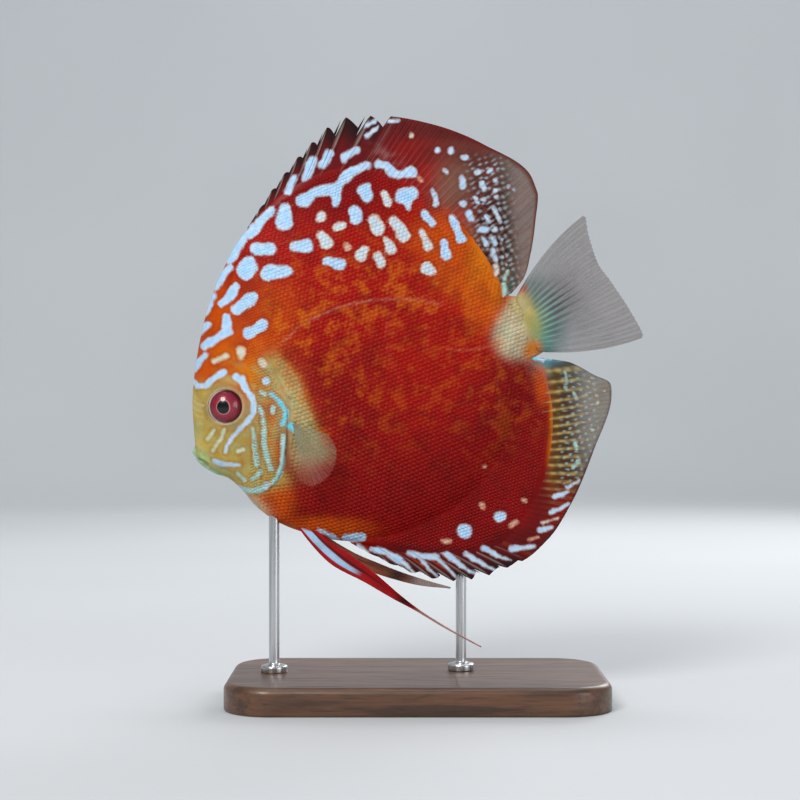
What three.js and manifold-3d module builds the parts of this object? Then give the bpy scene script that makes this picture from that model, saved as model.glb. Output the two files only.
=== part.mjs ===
// Discus fish, life size, swimming nose-down to the left, held over a flat base by two rods.
// Millimetres, +Z up. The fish faces -X and its left side faces -Y.
// The origin is on the surface under the base, at the middle of the object's length and width.
import * as THREE from 'three';
import { mergeVertices } from 'three/addons/utils/BufferGeometryUtils.js';
import Module from 'manifold-3d';

// ---------------------------------------------------------------- driving dimensions
const AXIS_RISE = 22;            // degrees the body axis rises from the mouth to the tail
const MOUTH_X = -73.865;         // tip of the upper lip
const MOUTH_Z = 81.6;
const NOSE_U = -0.35;            // foremost station along the body axis
const TAIL_ROOT_U = 119.4;       // station where the caudal fin begins
const GAP = 0.35;                // clearance between neighbouring pieces
const FIN_ROOT_HALF = 1.55;      // half thickness of a median fin where it leaves the body
const FIN_EDGE_HALF = 0.4;       // half thickness of a median fin at its free edge
const EYE_AT = [16.4, 9.6];      // eye centre along and across the body axis
const EYE_RADIUS = 6.2;          // eyeball radius in side view
const EYE_DEPTH = 4.3;           // eyeball half depth across the head
const EYE_Y = 6.6;               // eyeball centre off the mid-plane
const TAIL_ARC = [124.5, -2.2, 15.5]; // arc that parts the caudal peduncle from the trunk: centre, radius
const BASE_LENGTH = 124, BASE_WIDTH = 70, BASE_HEIGHT = 9, BASE_CORNER = 16;
const ROD_RADIUS = 1.75, ROD_COLLAR = 4.4, ROD_SOCKET = 4;
const FRONT_ROD_X = -47.2;       // under the breast, on the mid-plane
const REAR_ROD_X = 14.6;          // behind the anal fin
const REAR_ROD_Y = 4.6;          // on the right side, clear of the anal fin

// ---------------------------------------------------------------- helpers
const TAU = Math.PI * 2;
const rise = THREE.MathUtils.degToRad(AXIS_RISE);
const lerp = THREE.MathUtils.lerp;
const clamp = THREE.MathUtils.clamp;

// a point given along (u) and across (v) the body axis, in the mid-plane or off it (y)
function at(u, v, y = 0) {
  return new THREE.Vector3(
    MOUTH_X + u * Math.cos(rise) - v * Math.sin(rise), y,
    MOUTH_Z + u * Math.sin(rise) + v * Math.cos(rise));
}

// smooth curve through named stations that never overshoots them
function profile(knots) {
  const n = knots.length, x = knots.map((k) => k[0]), y = knots.map((k) => k[1]);
  const d = [], m = [];
  for (let i = 0; i < n - 1; i++) d.push((y[i + 1] - y[i]) / (x[i + 1] - x[i]));
  m.push(d[0]);
  for (let i = 1; i < n - 1; i++) {
    if (d[i - 1] * d[i] <= 0) { m.push(0); continue; }
    const h0 = x[i] - x[i - 1], h1 = x[i + 1] - x[i];
    const w1 = 2 * h1 + h0, w2 = h1 + 2 * h0;
    m.push((w1 + w2) / (w1 / d[i - 1] + w2 / d[i]));
  }
  m.push(d[n - 2]);
  return (t) => {
    if (t <= x[0]) return y[0];
    if (t >= x[n - 1]) return y[n - 1];
    let i = 0;
    while (t > x[i + 1]) i++;
    const h = x[i + 1] - x[i], s = (t - x[i]) / h;
    return y[i] * (1 + 2 * s) * (1 - s) ** 2 + m[i] * h * s * (1 - s) ** 2
      + y[i + 1] * s * s * (3 - 2 * s) + m[i + 1] * h * s * s * (s - 1);
  };
}
const bump = (u, v, cu, cv, r) => Math.exp(-((u - cu) ** 2 + (v - cv) ** 2) / (r * r));

// ---------------------------------------------------------------- the body's form
// height of the back over the axis: forehead, nape, then the back under the dorsal fin
const back = profile([[NOSE_U, 0.1], [0.1, 0.7], [1.3, 1.7], [1.9, 3.5], [2.9, 6.7], [5.4, 14.2],
  [8.7, 21.4], [14.8, 31.8], [21.4, 41.2], [31.1, 51.7], [43.4, 60.9], [51, 63.4], [58, 64.2],
  [66, 63.6], [76, 60.6], [87, 54.6], [97, 46.4], [105, 36.6], [110.5, 25.4], [113.6, 14.5],
  [115.2, 8.4], [TAIL_ROOT_U, 8.2]]);
// depth of the jaw, breast and belly under the axis
const belly = profile([[NOSE_U, -0.3], [-0.1, -1.5], [0.0, -2.9], [0.4, -4.1], [2.0, -6.9], [4.2, -9.5],
  [7.1, -11.9], [9.3, -15.5], [10.6, -18.6], [11.9, -23.0], [14.2, -27.6], [18.2, -33.0], [24, -38.3],
  [34.7, -45.6], [45, -49.3], [58, -51.1], [69, -50.6], [80, -47.6], [90.3, -42.0], [98.6, -35.2],
  [105.4, -27.0], [110.9, -18.6], [115.1, -13.3], [TAIL_ROOT_U, -12.7]]);
// line of greatest width, from the lips past the cheek to the middle of the tail root
const ridge = profile([[NOSE_U, -0.1], [2, -1.2], [8, 0.4], [16, 2.6], [30, 0], [50, -1], [90, -1.6],
  [TAIL_ROOT_U, -2.2]]);
const halfWidth = profile([[NOSE_U, 0.02], [0.1, 1.5], [1.2, 2.7], [4, 4.3], [9, 6.9], [16.4, 9.3],
  [23, 11.1], [31, 12.5], [38, 13.1], [46, 13.3], [60, 12.5], [75, 10.3], [90, 7.5], [100, 5.5],
  [108, 3.9], [114, 2.9], [TAIL_ROOT_U, 2.3]]);

// local form of the head: lips, cheek, orbit, gill cover
function headRelief(u, v) {
  const eye = Math.hypot(u - EYE_AT[0], v - EYE_AT[1]);
  return 0.55 * bump(u, v, 1.0, 1.4, 1.8) + 0.5 * bump(u, v, 1.2, -4.4, 1.8)   // upper and lower lip
    - 0.35 * bump(u, v, 4.6, 3.4, 2.6)                                          // behind the upper lip
    + 0.45 * Math.exp(-(((eye - 7.2) / 1.6) ** 2))                              // rim of the orbit
    + 0.5 * bump(u, v, 26, -4, 8) + 0.3 * bump(u, v, 14, -9, 5);                // gill cover and cheek
}

// half thickness of the body at a point in side view, 0 on its outline
const KEEL_P = 2.1, KEEL_Q = 0.66;
function flank(u, v) {
  const r = ridge(u), t = v >= r ? (v - r) / (back(u) - r) : (r - v) / (r - belly(u));
  if (t >= 1) return 0;
  const h = halfWidth(u) * (1 - t ** KEEL_P) ** KEEL_Q;
  return h + headRelief(u, v) * clamp(h / 3, 0, 1);
}

// stations along the axis, closer where the outline climbs steeply
function stations(count) {
  const fine = 600, arc = [0], us = [NOSE_U];
  for (let i = 1; i <= fine; i++) {
    const u = lerp(NOSE_U, TAIL_ROOT_U, i / fine), p = us[i - 1];
    us.push(u);
    arc.push(arc[i - 1] + Math.hypot(u - p, 0.62 * (back(u) - back(p)), 0.62 * (belly(u) - belly(p))));
  }
  const out = [];
  for (let k = 0, i = 0; k <= count; k++) {
    const want = arc[fine] * (k / count) ** 1.12;
    while (i < fine - 1 && arc[i + 1] < want) i++;
    out.push(lerp(us[i], us[i + 1], clamp((want - arc[i]) / (arc[i + 1] - arc[i]), 0, 1)));
  }
  return out;
}

// ---------------------------------------------------------------- closed surfaces
const wasm = await Module();
wasm.setup();

function geometry(positions, index) {
  const g = new THREE.BufferGeometry();
  g.setAttribute('position', new THREE.Float32BufferAttribute(positions, 3));
  g.setIndex(index);
  return g;
}
function solid(g) {
  const bare = g.clone();
  for (const name of Object.keys(bare.attributes)) if (name !== 'position') bare.deleteAttribute(name);
  const m = mergeVertices(bare, 1e-4);
  return new wasm.Manifold(new wasm.Mesh({
    numProp: 3,
    vertProperties: new Float32Array(m.attributes.position.array),
    triVerts: new Uint32Array(m.index.array) }));
}
function surface(manifold) {
  const m = manifold.getMesh();
  const g = geometry(Array.from(m.vertProperties), Array.from(m.triVerts));
  g.computeVertexNormals();
  return g;
}

// a solid from rings of equal count, closed by a point or a fan at each end
function loft(rings) {
  const n = rings[0].length, pos = [], idx = [];
  rings.forEach((ring) => ring.forEach((p) => pos.push(p.x, p.y, p.z)));
  for (let i = 0; i < rings.length - 1; i++) {
    for (let k = 0; k < n; k++) {
      const a = i * n + k, b = i * n + (k + 1) % n, c = a + n, d = b + n;
      idx.push(a, b, d, a, d, c);
    }
  }
  [[0, true], [rings.length - 1, false]].forEach(([r, first]) => {
    const mid = rings[r].reduce((s, p) => s.add(p), new THREE.Vector3()).divideScalar(n);
    const c = pos.length / 3;
    pos.push(mid.x, mid.y, mid.z);
    for (let k = 0; k < n; k++) {
      const a = r * n + k, b = r * n + (k + 1) % n;
      if (first) idx.push(c, b, a); else idx.push(c, a, b);
    }
  });
  return geometry(pos, idx);
}
function outward(g) {
  const m = solid(g);
  if (m.volume() > 0) return m;
  const i = g.index.array.slice();
  for (let k = 0; k < i.length; k += 3) [i[k], i[k + 1]] = [i[k + 1], i[k]];
  g.setIndex(Array.from(i));
  return solid(g);
}

// the whole body; grow pushes its surface out to leave clearance
const BODY_STATIONS = 40, BODY_AROUND = 28;
function bodySolid(grow = 0) {
  const rings = stations(BODY_STATIONS).map((u, i, all) => {
    const last = i === all.length - 1, ring = [];
    const r = ridge(u), a = back(u) + grow, b = belly(u) - grow, w = halfWidth(u);
    for (let k = 0; k < BODY_AROUND; k++) {
      const phi = TAU * (k + 0.5) / BODY_AROUND, s = Math.sin(phi), side = Math.sign(Math.cos(phi));
      const v = s >= 0 ? r + (a - r) * s : r + (r - b) * s;
      const h = w * (1 - Math.abs(s) ** KEEL_P) ** KEEL_Q;
      const relief = headRelief(u, v) * clamp(h / 3, 0, 1);
      ring.push(at(u + (last ? grow : 0) - (i === 0 ? grow : 0), v, side * (h + relief + grow)));
    }
    return ring;
  });
  return outward(loft(rings));
}

// a thin plate over a grid of points: middle(s, t) gives its mid-surface, half(s, t) its half thickness
function plate(middle, half, ss, ts) {
  const e = 1e-3, left = [], right = [];
  for (const s of ss) for (const t of ts) {
    const p = middle(s, t);
    const ds = middle(s + e, t).sub(middle(s - e, t)), dt = middle(s, t + e).sub(middle(s, t - e));
    const n = new THREE.Vector3().crossVectors(ds, dt).normalize();
    if (n.y > 0) n.negate();
    left.push(p.clone().addScaledVector(n, half(s, t)));
    right.push(p.clone().addScaledVector(n, -half(s, t)));
  }
  const nt = ts.length, ns = ss.length, pos = [], idx = [], off = left.length;
  [...left, ...right].forEach((p) => pos.push(p.x, p.y, p.z));
  const quad = (a, b, c, d) => idx.push(a, b, c, a, c, d);
  for (let i = 0; i < ns - 1; i++) for (let j = 0; j < nt - 1; j++) {
    const a = i * nt + j;
    quad(a, a + nt, a + nt + 1, a + 1);
    quad(off + a, off + a + 1, off + a + nt + 1, off + a + nt);
  }
  const rim = [];
  for (let i = 0; i < ns - 1; i++) rim.push(i * nt);
  for (let j = 0; j < nt - 1; j++) rim.push((ns - 1) * nt + j);
  for (let i = ns - 1; i > 0; i--) rim.push(i * nt + nt - 1);
  for (let j = nt - 1; j > 0; j--) rim.push(j);
  rim.forEach((a, i) => {
    const b = rim[(i + 1) % rim.length];
    quad(b, a, off + a, off + b);
  });
  return outward(geometry(pos, idx));
}
const steps = (n, from = 0, to = 1) => Array.from({ length: n + 1 }, (_, i) => lerp(from, to, i / n));

// a prism across the whole width, for parting the body along a line in side view
function prism(points, halfDepth = 40) {
  const shape = new THREE.Shape(points.map((p) => new THREE.Vector2(p.x, p.z)));
  const g = new THREE.ExtrudeGeometry(shape, { depth: 2 * halfDepth, bevelEnabled: false });
  g.rotateX(Math.PI / 2);
  g.translate(0, halfDepth, 0);
  return outward(g);
}

// ---------------------------------------------------------------- median fins
// A median fin fans from a base line on the body to a free edge; rays bow towards the tail.
function rayFin({ baseU, baseV, edgeU, edgeV, bow, notch }) {
  const middle = (s, t) => {
    const q = clamp(s, -0.01, 1.01);
    const bu = baseU(q), bv = baseV(bu);
    let eu = edgeU(q), ev = edgeV(q);
    const cut = notch ? notch(q) : 0;
    eu = lerp(eu, bu, cut); ev = lerp(ev, bv, cut);
    const k = 4 * t * (1 - t) * bow(q);
    return at(lerp(bu, eu, t) + k * (ev - bv) * 0.5, lerp(bv, ev, t) - k * (eu - bu) * 0.5);
  };
  const half = (s, t) => lerp(FIN_ROOT_HALF, FIN_EDGE_HALF, Math.sqrt(clamp(t, 0, 1)));
  return { middle, half };
}

// the spines stand free at the edge: a narrow slit just behind each spine tip
function spineSlits(from, to, count, depth) {
  const pitch = (to - from) / count;
  return {
    notch: (s) => {
      if (s <= from || s >= to) return 0;
      const f = (s - from) / pitch, k = f - Math.floor(f);
      return k < 0.16 ? depth * (1 - Math.abs(k - 0.08) / 0.08) : 0;
    },
    columns: Array.from({ length: count }, (_, i) => [0, 0.08, 0.16].map((k) => from + (i + k) * pitch)).flat(),
  };
}

const dorsalSlits = spineSlits(0.05, 0.55, 8, 0.34);
const dorsal = rayFin({
  baseU: profile([[0, 43], [0.14, 47.5], [0.23, 52], [0.32, 57.5], [0.42, 64], [0.53, 73.5], [0.66, 86],
    [0.77, 97.5], [0.885, 107.5], [0.96, 113.2], [1, 114.6]]),
  baseV: (u) => back(u) - 2.2,
  edgeU: profile([[0, 44.2], [0.14, 57.8], [0.32, 75.2], [0.42, 86], [0.53, 99.5], [0.66, 114.3],
    [0.77, 126.8], [0.885, 137.5], [0.91, 137.4], [0.935, 133.2], [0.96, 127.8], [0.985, 122.3], [1, 117]]),
  edgeV: profile([[0, 61.9], [0.14, 71.3], [0.32, 80.4], [0.42, 83.8], [0.53, 79.4], [0.66, 70.2],
    [0.77, 58.3], [0.885, 41.6], [0.91, 37.2], [0.935, 28.4], [0.96, 19.2], [0.985, 12.2], [1, 9.4]]),
  bow: (s) => 0.1 * (1 - s), notch: dorsalSlits.notch });
const analSlits = spineSlits(0.03, 0.5, 8, 0.3);
const anal = rayFin({
  baseU: profile([[0, 36], [0.08, 38], [0.18, 41.5], [0.28, 46.5], [0.4, 53.5], [0.5, 61], [0.6, 70], [0.72, 80],
    [0.82, 93], [0.92, 104.5], [0.98, 112], [1, 115]]),
  baseV: (u) => belly(u) + 2.2,
  edgeU: profile([[0, 37], [0.08, 44.5], [0.18, 53.6], [0.28, 64], [0.4, 76], [0.5, 87], [0.6, 97.5],
    [0.72, 110], [0.82, 122.8], [0.92, 134.9], [0.945, 136], [0.965, 132], [0.985, 126], [1, 119.6]]),
  edgeV: profile([[0, -47.4], [0.08, -56.5], [0.18, -65.4], [0.28, -71.8], [0.4, -74.3], [0.5, -74],
    [0.6, -70.6], [0.72, -61.8], [0.82, -48.9], [0.92, -34.4], [0.945, -30.5], [0.965, -25.8], [0.985, -18.9],
    [1, -15.4]]),
  bow: (s) => -0.1 * (1 - s), notch: analSlits.notch });

const columns = (extra, from, to, n) => [0, ...extra, ...steps(n, from, to)].sort((a, b) => a - b)
  .filter((s, i, all) => i === 0 || s - all[i - 1] > 1e-4);
const finT = [0, 0.42, 1];
const dorsalPlate = plate(dorsal.middle, dorsal.half, columns(dorsalSlits.columns, 0.56, 1, 14), finT);
const analPlate = plate(anal.middle, anal.half, columns(analSlits.columns, 0.51, 1, 14), finT);

// caudal fin: a fan from the tail root to a gently hollowed trailing edge
const caudalEdgeU = profile([[0, 148.6], [0.03, 149.2], [0.14, 148], [0.35, 147.3], [0.55, 148.8], [0.8, 151.2],
  [0.96, 152.2], [1, 151.4]]);
const caudalEdgeV = profile([[0, 24.2], [0.03, 23.4], [0.14, 17.8], [0.35, 8.4], [0.55, 1], [0.8, -11],
  [0.96, -19.3], [1, -20.6]]);
const caudalMiddle = (s, t) => {
  const bu = TAIL_ROOT_U + GAP + 0.02, bv = lerp(8.3, -12.7, s);
  const bowing = 4 * t * (1 - t) * lerp(2.2, -2.0, s);
  return at(lerp(bu, caudalEdgeU(s), t), lerp(bv, caudalEdgeV(s), t) + bowing);
};
const caudalHalf = (s, t) => lerp(1.9, FIN_EDGE_HALF, Math.sqrt(t)) * (1 - 0.25 * Math.abs(2 * s - 1) ** 4);
const caudalPlate = plate(caudalMiddle, caudalHalf, steps(15), [0, 0.2, 0.55, 1]);

// ---------------------------------------------------------------- paired fins
// pelvic fin: a narrow blade ending in a long filament. side is -1 for left, +1 for right
function pelvic(side, { lead, trail, spread }) {
  const leadU = profile(lead.map(([s, u]) => [s, u])), leadV = profile(lead.map(([s, , v]) => [s, v]));
  const trailU = profile(trail.map(([s, u]) => [s, u])), trailV = profile(trail.map(([s, , v]) => [s, v]));
  const y = (s) => side * (1.9 + spread * Math.sin(clamp(s, 0, 1) * Math.PI * 0.5));
  const middle = (s, t) => at(lerp(leadU(s), trailU(s), t), lerp(leadV(s), trailV(s), t), y(s) + side * 0.4 * t);
  const half = (s) => lerp(0.85, 0.36, clamp(s * 1.3, 0, 1));
  return plate(middle, half, steps(18), [0, 0.5, 1]);
}
const pelvicLeft = pelvic(-1, { spread: 4.2,
  lead: [[0, 22.6, -35.0], [0.1, 24.4, -41.5], [0.25, 28, -50.3], [0.45, 36.7, -60.8], [0.62, 43.2, -69],
    [0.76, 48.3, -75], [0.88, 55, -83.9], [1, 63.9, -94.4]],
  trail: [[0, 29, -40.5], [0.1, 31.4, -44.6], [0.25, 36.2, -51.4], [0.45, 41.3, -60], [0.62, 45.6, -68.3],
    [0.76, 49.2, -74.4], [0.88, 55.7, -83.3], [1, 64.4, -93.8]] });
const pelvicRight = pelvic(1, { spread: 6.4,
  lead: [[0, 22.6, -35.0], [0.12, 25.2, -42.5], [0.3, 31, -51], [0.5, 38.5, -58.4], [0.7, 46.2, -65],
    [0.85, 53, -69.9], [1, 61.6, -74.4]],
  trail: [[0, 29, -40.5], [0.12, 31.8, -44.8], [0.3, 37, -51.6], [0.5, 42.6, -57.4], [0.7, 48.8, -63.4],
    [0.85, 54.4, -68.2], [1, 62, -73.9]] });

// pectoral fin: a soft fan on the flank, held out from it towards the tail
function pectoral(side) {
  const length = profile([[0, 12.4], [0.22, 16.8], [0.5, 18.2], [0.75, 17.2], [1, 12.6]]);
  const middle = (s, t) => {
    const q = clamp(t, -0.01, 1.01), a = THREE.MathUtils.degToRad(-38 - 70 * q), far = length(q) * s;
    const out = 0.4 + 7.2 * Math.max(s, 0) ** 1.1 - 1.2 * Math.sin(Math.PI * q) * s;
    return at(34.6 - 0.6 * q + far * Math.cos(a), -3.6 - 5.6 * q + far * Math.sin(a), side * (13.5 + out));
  };
  const half = (s) => lerp(0.5, 0.3, s);
  return plate(middle, half, [0, 0.35, 0.7, 1], steps(12));
}

// ---------------------------------------------------------------- eyes
function eyeball(side, grow = 0) {
  const g = new THREE.SphereGeometry(1, 20, 10);
  g.rotateX(Math.PI / 2);
  g.scale(EYE_RADIUS + grow, EYE_DEPTH + grow, EYE_RADIUS + grow);
  const c = at(...EYE_AT, side * EYE_Y);
  g.translate(c.x, c.y, c.z);
  return outward(g);
}

// ---------------------------------------------------------------- stand
function standBase() {
  const outline = (inset) => {
    const pts = [], hx = BASE_LENGTH / 2 - inset, hy = BASE_WIDTH / 2 - inset, r = BASE_CORNER - inset;
    [[1, 1, 0], [-1, 1, 1], [-1, -1, 2], [1, -1, 3]].forEach(([sx, sy, q]) => {
      for (let k = 0; k <= 8; k++) {
        const a = (q + k / 8) * Math.PI / 2;
        pts.push([sx * (hx - r) + r * Math.cos(a), sy * (hy - r) + r * Math.sin(a)]);
      }
    });
    return pts;
  };
  const level = (z, inset) => outline(inset).map(([x, y]) => new THREE.Vector3(x, y, z));
  return outward(loft([level(0, 0.8), level(0.8, 0), level(BASE_HEIGHT - 2.2, 0),
    level(BASE_HEIGHT - 0.7, 0.7), level(BASE_HEIGHT, 2.4)]));
}
function rod(x, y, top) {
  const from = BASE_HEIGHT - ROD_SOCKET + GAP;
  const g = new THREE.LatheGeometry([[0, from], [ROD_RADIUS, from], [ROD_RADIUS, BASE_HEIGHT + GAP],
    [ROD_COLLAR, BASE_HEIGHT + GAP], [ROD_COLLAR, BASE_HEIGHT + 1.6], [ROD_COLLAR - 0.8, BASE_HEIGHT + 2.6],
    [ROD_RADIUS, BASE_HEIGHT + 3.0], [ROD_RADIUS, top], [0, top]].map(([r, z]) => new THREE.Vector2(r, z)), 20);
  g.rotateX(Math.PI / 2);
  g.translate(x, y, 0);
  return outward(g);
}
function socket(x, y) {
  const g = new THREE.CylinderGeometry(ROD_RADIUS + GAP, ROD_RADIUS + GAP, ROD_SOCKET + 4, 20);
  g.rotateX(Math.PI / 2);
  g.translate(x, y, BASE_HEIGHT - ROD_SOCKET + (ROD_SOCKET + 4) / 2);
  return outward(g);
}

// ---------------------------------------------------------------- parting the body
const body = bodySolid(0), bodyClear = bodySolid(GAP);
const eyeLeft = eyeball(-1), eyeRight = eyeball(1);
const sockets = eyeball(-1, GAP).add(eyeball(1, GAP));

// rear edge of the head: from the nape down behind the gill cover to the breast
const gillV = [62, 53, 41.4, 26.7, 12.6, 0.3, -8, -16, -22, -27];
const gillU = [34.5, 32.6, 31.5, 32.7, 34.1, 34.5, 31.4, 25, 17, 6];
const gillLine = new THREE.CatmullRomCurve3(gillV.map((v, i) => new THREE.Vector3(gillU[i], v, 0)), false, 'centripetal');
function headRegion(shift) {
  const pts = gillLine.getPoints(15).map((p, i, all) => {
    const a = all[Math.max(0, i - 1)], b = all[Math.min(all.length - 1, i + 1)];
    const n = new THREE.Vector3(-(b.y - a.y), b.x - a.x, 0).normalize();
    return at(p.x + n.x * shift, p.y + n.y * shift);
  });
  return prism([...pts, at(-30, -40), at(-30, 75)]);
}
const gapped = headRegion(GAP), headSide = headRegion(0);
function tailRegion(shrink) {
  const [cu, cv, r] = TAIL_ARC;
  return prism(steps(16, Math.PI / 2, Math.PI * 1.5).map((a) =>
    at(cu + (r - shrink) * Math.cos(a), cv + (r - shrink) * Math.sin(a))));
}

const largest = (m) => m.decompose().sort((a, b) => b.volume() - a.volume())[0];
const head = largest(body.intersect(headSide).subtract(sockets));
const trunk = largest(body.subtract(gapped).subtract(tailRegion(0)));
const tail = largest(body.intersect(tailRegion(GAP)));

const frontRod = rod(FRONT_ROD_X, 0, MOUTH_Z - 10).subtract(bodyClear);
const rearRod = rod(REAR_ROD_X, REAR_ROD_Y, MOUTH_Z + 4).subtract(bodyClear);

// ---------------------------------------------------------------- the object
const red = (hex, rough = 0.45) => new THREE.MeshStandardMaterial({ color: hex, roughness: rough, metalness: 0 });
const model = new THREE.Group();
function piece(name, manifold, material) {
  const mesh = new THREE.Mesh(surface(manifold), material);
  mesh.name = name;
  model.add(mesh);
}
piece('head', head, red(0xb0812b));
piece('trunk', trunk, red(0x8e1a10));
piece('tail', tail, red(0xa3a05a));
piece('dorsal_fin', largest(dorsalPlate.subtract(bodyClear)), red(0x7a1712));
piece('anal_fin', largest(analPlate.subtract(bodyClear)), red(0x74180f));
piece('caudal_fin', caudalPlate, red(0x7d8280));
piece('pelvic_fin_left', largest(pelvicLeft.subtract(bodyClear)), red(0x8a1a1c));
piece('pelvic_fin_right', largest(pelvicRight.subtract(bodyClear)), red(0x6a3a2c));
piece('pectoral_fin_left', largest(pectoral(-1).subtract(bodyClear)), red(0x9c8878));
piece('pectoral_fin_right', largest(pectoral(1).subtract(bodyClear)), red(0x9c8878));
piece('eye_left', eyeLeft, red(0x5a1018, 0.1));
piece('eye_right', eyeRight, red(0x5a1018, 0.1));
piece('stand_base', standBase().subtract(socket(FRONT_ROD_X, 0)).subtract(socket(REAR_ROD_X, REAR_ROD_Y)),
  new THREE.MeshStandardMaterial({ color: 0x3b2a20, roughness: 0.5, metalness: 0 }));
const steel = new THREE.MeshStandardMaterial({ color: 0xb8babc, roughness: 0.3, metalness: 1 });
piece('stand_rod_front', largest(frontRod), steel);
piece('stand_rod_rear', largest(rearRod), steel);

export default model;
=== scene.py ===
import math

import bpy
import numpy as np
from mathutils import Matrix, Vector


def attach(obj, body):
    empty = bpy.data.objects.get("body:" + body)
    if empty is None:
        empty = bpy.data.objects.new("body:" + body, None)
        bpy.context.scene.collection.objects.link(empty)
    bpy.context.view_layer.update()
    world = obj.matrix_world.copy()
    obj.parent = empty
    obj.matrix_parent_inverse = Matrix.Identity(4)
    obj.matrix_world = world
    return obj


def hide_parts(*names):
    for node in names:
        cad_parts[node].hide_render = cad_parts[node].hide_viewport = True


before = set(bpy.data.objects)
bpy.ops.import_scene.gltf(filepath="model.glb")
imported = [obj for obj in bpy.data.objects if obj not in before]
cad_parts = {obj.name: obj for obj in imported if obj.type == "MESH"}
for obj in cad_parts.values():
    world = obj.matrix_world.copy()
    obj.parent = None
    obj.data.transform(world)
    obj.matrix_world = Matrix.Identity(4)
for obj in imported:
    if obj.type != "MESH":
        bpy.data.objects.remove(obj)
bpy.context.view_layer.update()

MM = 0.001

# ------------------------------------------------------------------ the fish's own frame
AXIS_RISE = math.radians(22)
MOUTH_X, MOUTH_Z = -73.865, 81.6
NOSE_U, TAIL_ROOT_U = -0.35, 119.4
EYE_U, EYE_V, EYE_R, EYE_DEPTH, EYE_Y = 16.4, 9.6, 6.2, 4.3, 6.6
CU, SU = math.cos(AXIS_RISE), math.sin(AXIS_RISE)
# the picture's frame: mm per pixel in the mid-plane, and the camera's distance from it
PX, CAM_D, MID_X, BASE_ROW = 0.33, 600.0, 417.27, 672.0
CAM_X, CAM_Z = (400 - MID_X) * PX, 9 + (BASE_ROW - 400) * PX


def place(u, v, y):
    return np.stack([MOUTH_X + u * CU - v * SU, y * np.ones_like(u), MOUTH_Z + u * SU + v * CU], -1)


def own(x, z):
    return (x - MOUTH_X) * CU + (z - MOUTH_Z) * SU, -(x - MOUTH_X) * SU + (z - MOUTH_Z) * CU


def uv_of(px, py):
    return own((px - MID_X) * PX, 9 + (BASE_ROW - py) * PX)


def seen(p):
    """Where a point of the fish falls in the picture; the right side is read as if mirrored."""
    k = CAM_D / (CAM_D - np.abs(p[:, 1]))
    return 400 + (p[:, 0] - CAM_X) * k / PX, 400 - (p[:, 2] - CAM_Z) * k / PX


def profile(knots):
    """Smooth curve through named stations that never overshoots them."""
    x, y = np.array([k[0] for k in knots], float), np.array([k[1] for k in knots], float)
    d = np.diff(y) / np.diff(x)
    m = np.zeros_like(x)
    m[0], m[-1] = d[0], d[-1]
    h = np.diff(x)
    for i in range(1, len(x) - 1):
        if d[i - 1] * d[i] > 0:
            w1, w2 = 2 * h[i] + h[i - 1], h[i] + 2 * h[i - 1]
            m[i] = (w1 + w2) / (w1 / d[i - 1] + w2 / d[i])

    def f(t):
        t = np.clip(np.asarray(t, float), x[0], x[-1])
        i = np.clip(np.searchsorted(x, t, side="right") - 1, 0, len(x) - 2)
        hh = x[i + 1] - x[i]
        s = (t - x[i]) / hh
        return (y[i] * (1 + 2 * s) * (1 - s) ** 2 + m[i] * hh * s * (1 - s) ** 2
                + y[i + 1] * s * s * (3 - 2 * s) + m[i + 1] * hh * s * s * (s - 1))
    return f


def lerp(a, b, t):
    return a + (b - a) * t


def smooth(a, b, x):
    t = np.clip((x - a) / (b - a), 0, 1)
    return t * t * (3 - 2 * t)


back = profile([[NOSE_U, 0.1], [0.1, 0.7], [1.3, 1.7], [1.9, 3.5], [2.9, 6.7], [5.4, 14.2],
                [8.7, 21.4], [14.8, 31.8], [21.4, 41.2], [31.1, 51.7], [43.4, 60.9], [51, 63.4], [58, 64.2],
                [66, 63.6], [76, 60.6], [87, 54.6], [97, 46.4], [105, 36.6], [110.5, 25.4], [113.6, 14.5],
                [115.2, 8.4], [TAIL_ROOT_U, 8.2]])
belly = profile([[NOSE_U, -0.3], [-0.1, -1.5], [0.0, -2.9], [0.4, -4.1], [2.0, -6.9], [4.2, -9.5],
                 [7.1, -11.9], [9.3, -15.5], [10.6, -18.6], [11.9, -23.0], [14.2, -27.6], [18.2, -33.0], [24, -38.3],
                 [34.7, -45.6], [45, -49.3], [58, -51.1], [69, -50.6], [80, -47.6], [90.3, -42.0], [98.6, -35.2],
                 [105.4, -27.0], [110.9, -18.6], [115.1, -13.3], [TAIL_ROOT_U, -12.7]])
ridge = profile([[NOSE_U, -0.1], [2, -1.2], [8, 0.4], [16, 2.6], [30, 0], [50, -1], [90, -1.6], [TAIL_ROOT_U, -2.2]])
half_width = profile([[NOSE_U, 0.02], [0.1, 1.5], [1.2, 2.7], [4, 4.3], [9, 6.9], [16.4, 9.3],
                      [23, 11.1], [31, 12.5], [38, 13.1], [46, 13.3], [60, 12.5], [75, 10.3], [90, 7.5], [100, 5.5],
                      [108, 3.9], [114, 2.9], [TAIL_ROOT_U, 2.3]])
# rims of the scaly sheaths that run up on the bases of the dorsal and anal fins
dorsal_sheath = [(43.4, 60.9), (52, 65.8), (62, 69.0), (75, 70.2), (88, 66.4), (98, 58.9), (106, 48.4), (111, 36),
                 (113.9, 24), (115.0, 14), (115.2, 8.4)]
anal_sheath = [(115.1, -13.3), (118.0, -17.6), (117.6, -25), (115.8, -32), (110.2, -43), (102.5, -54), (92.5, -62.4),
               (82, -66.6), (70, -65.6), (57, -60.4), (46, -53.2), (36.3, -46.4)]


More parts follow.
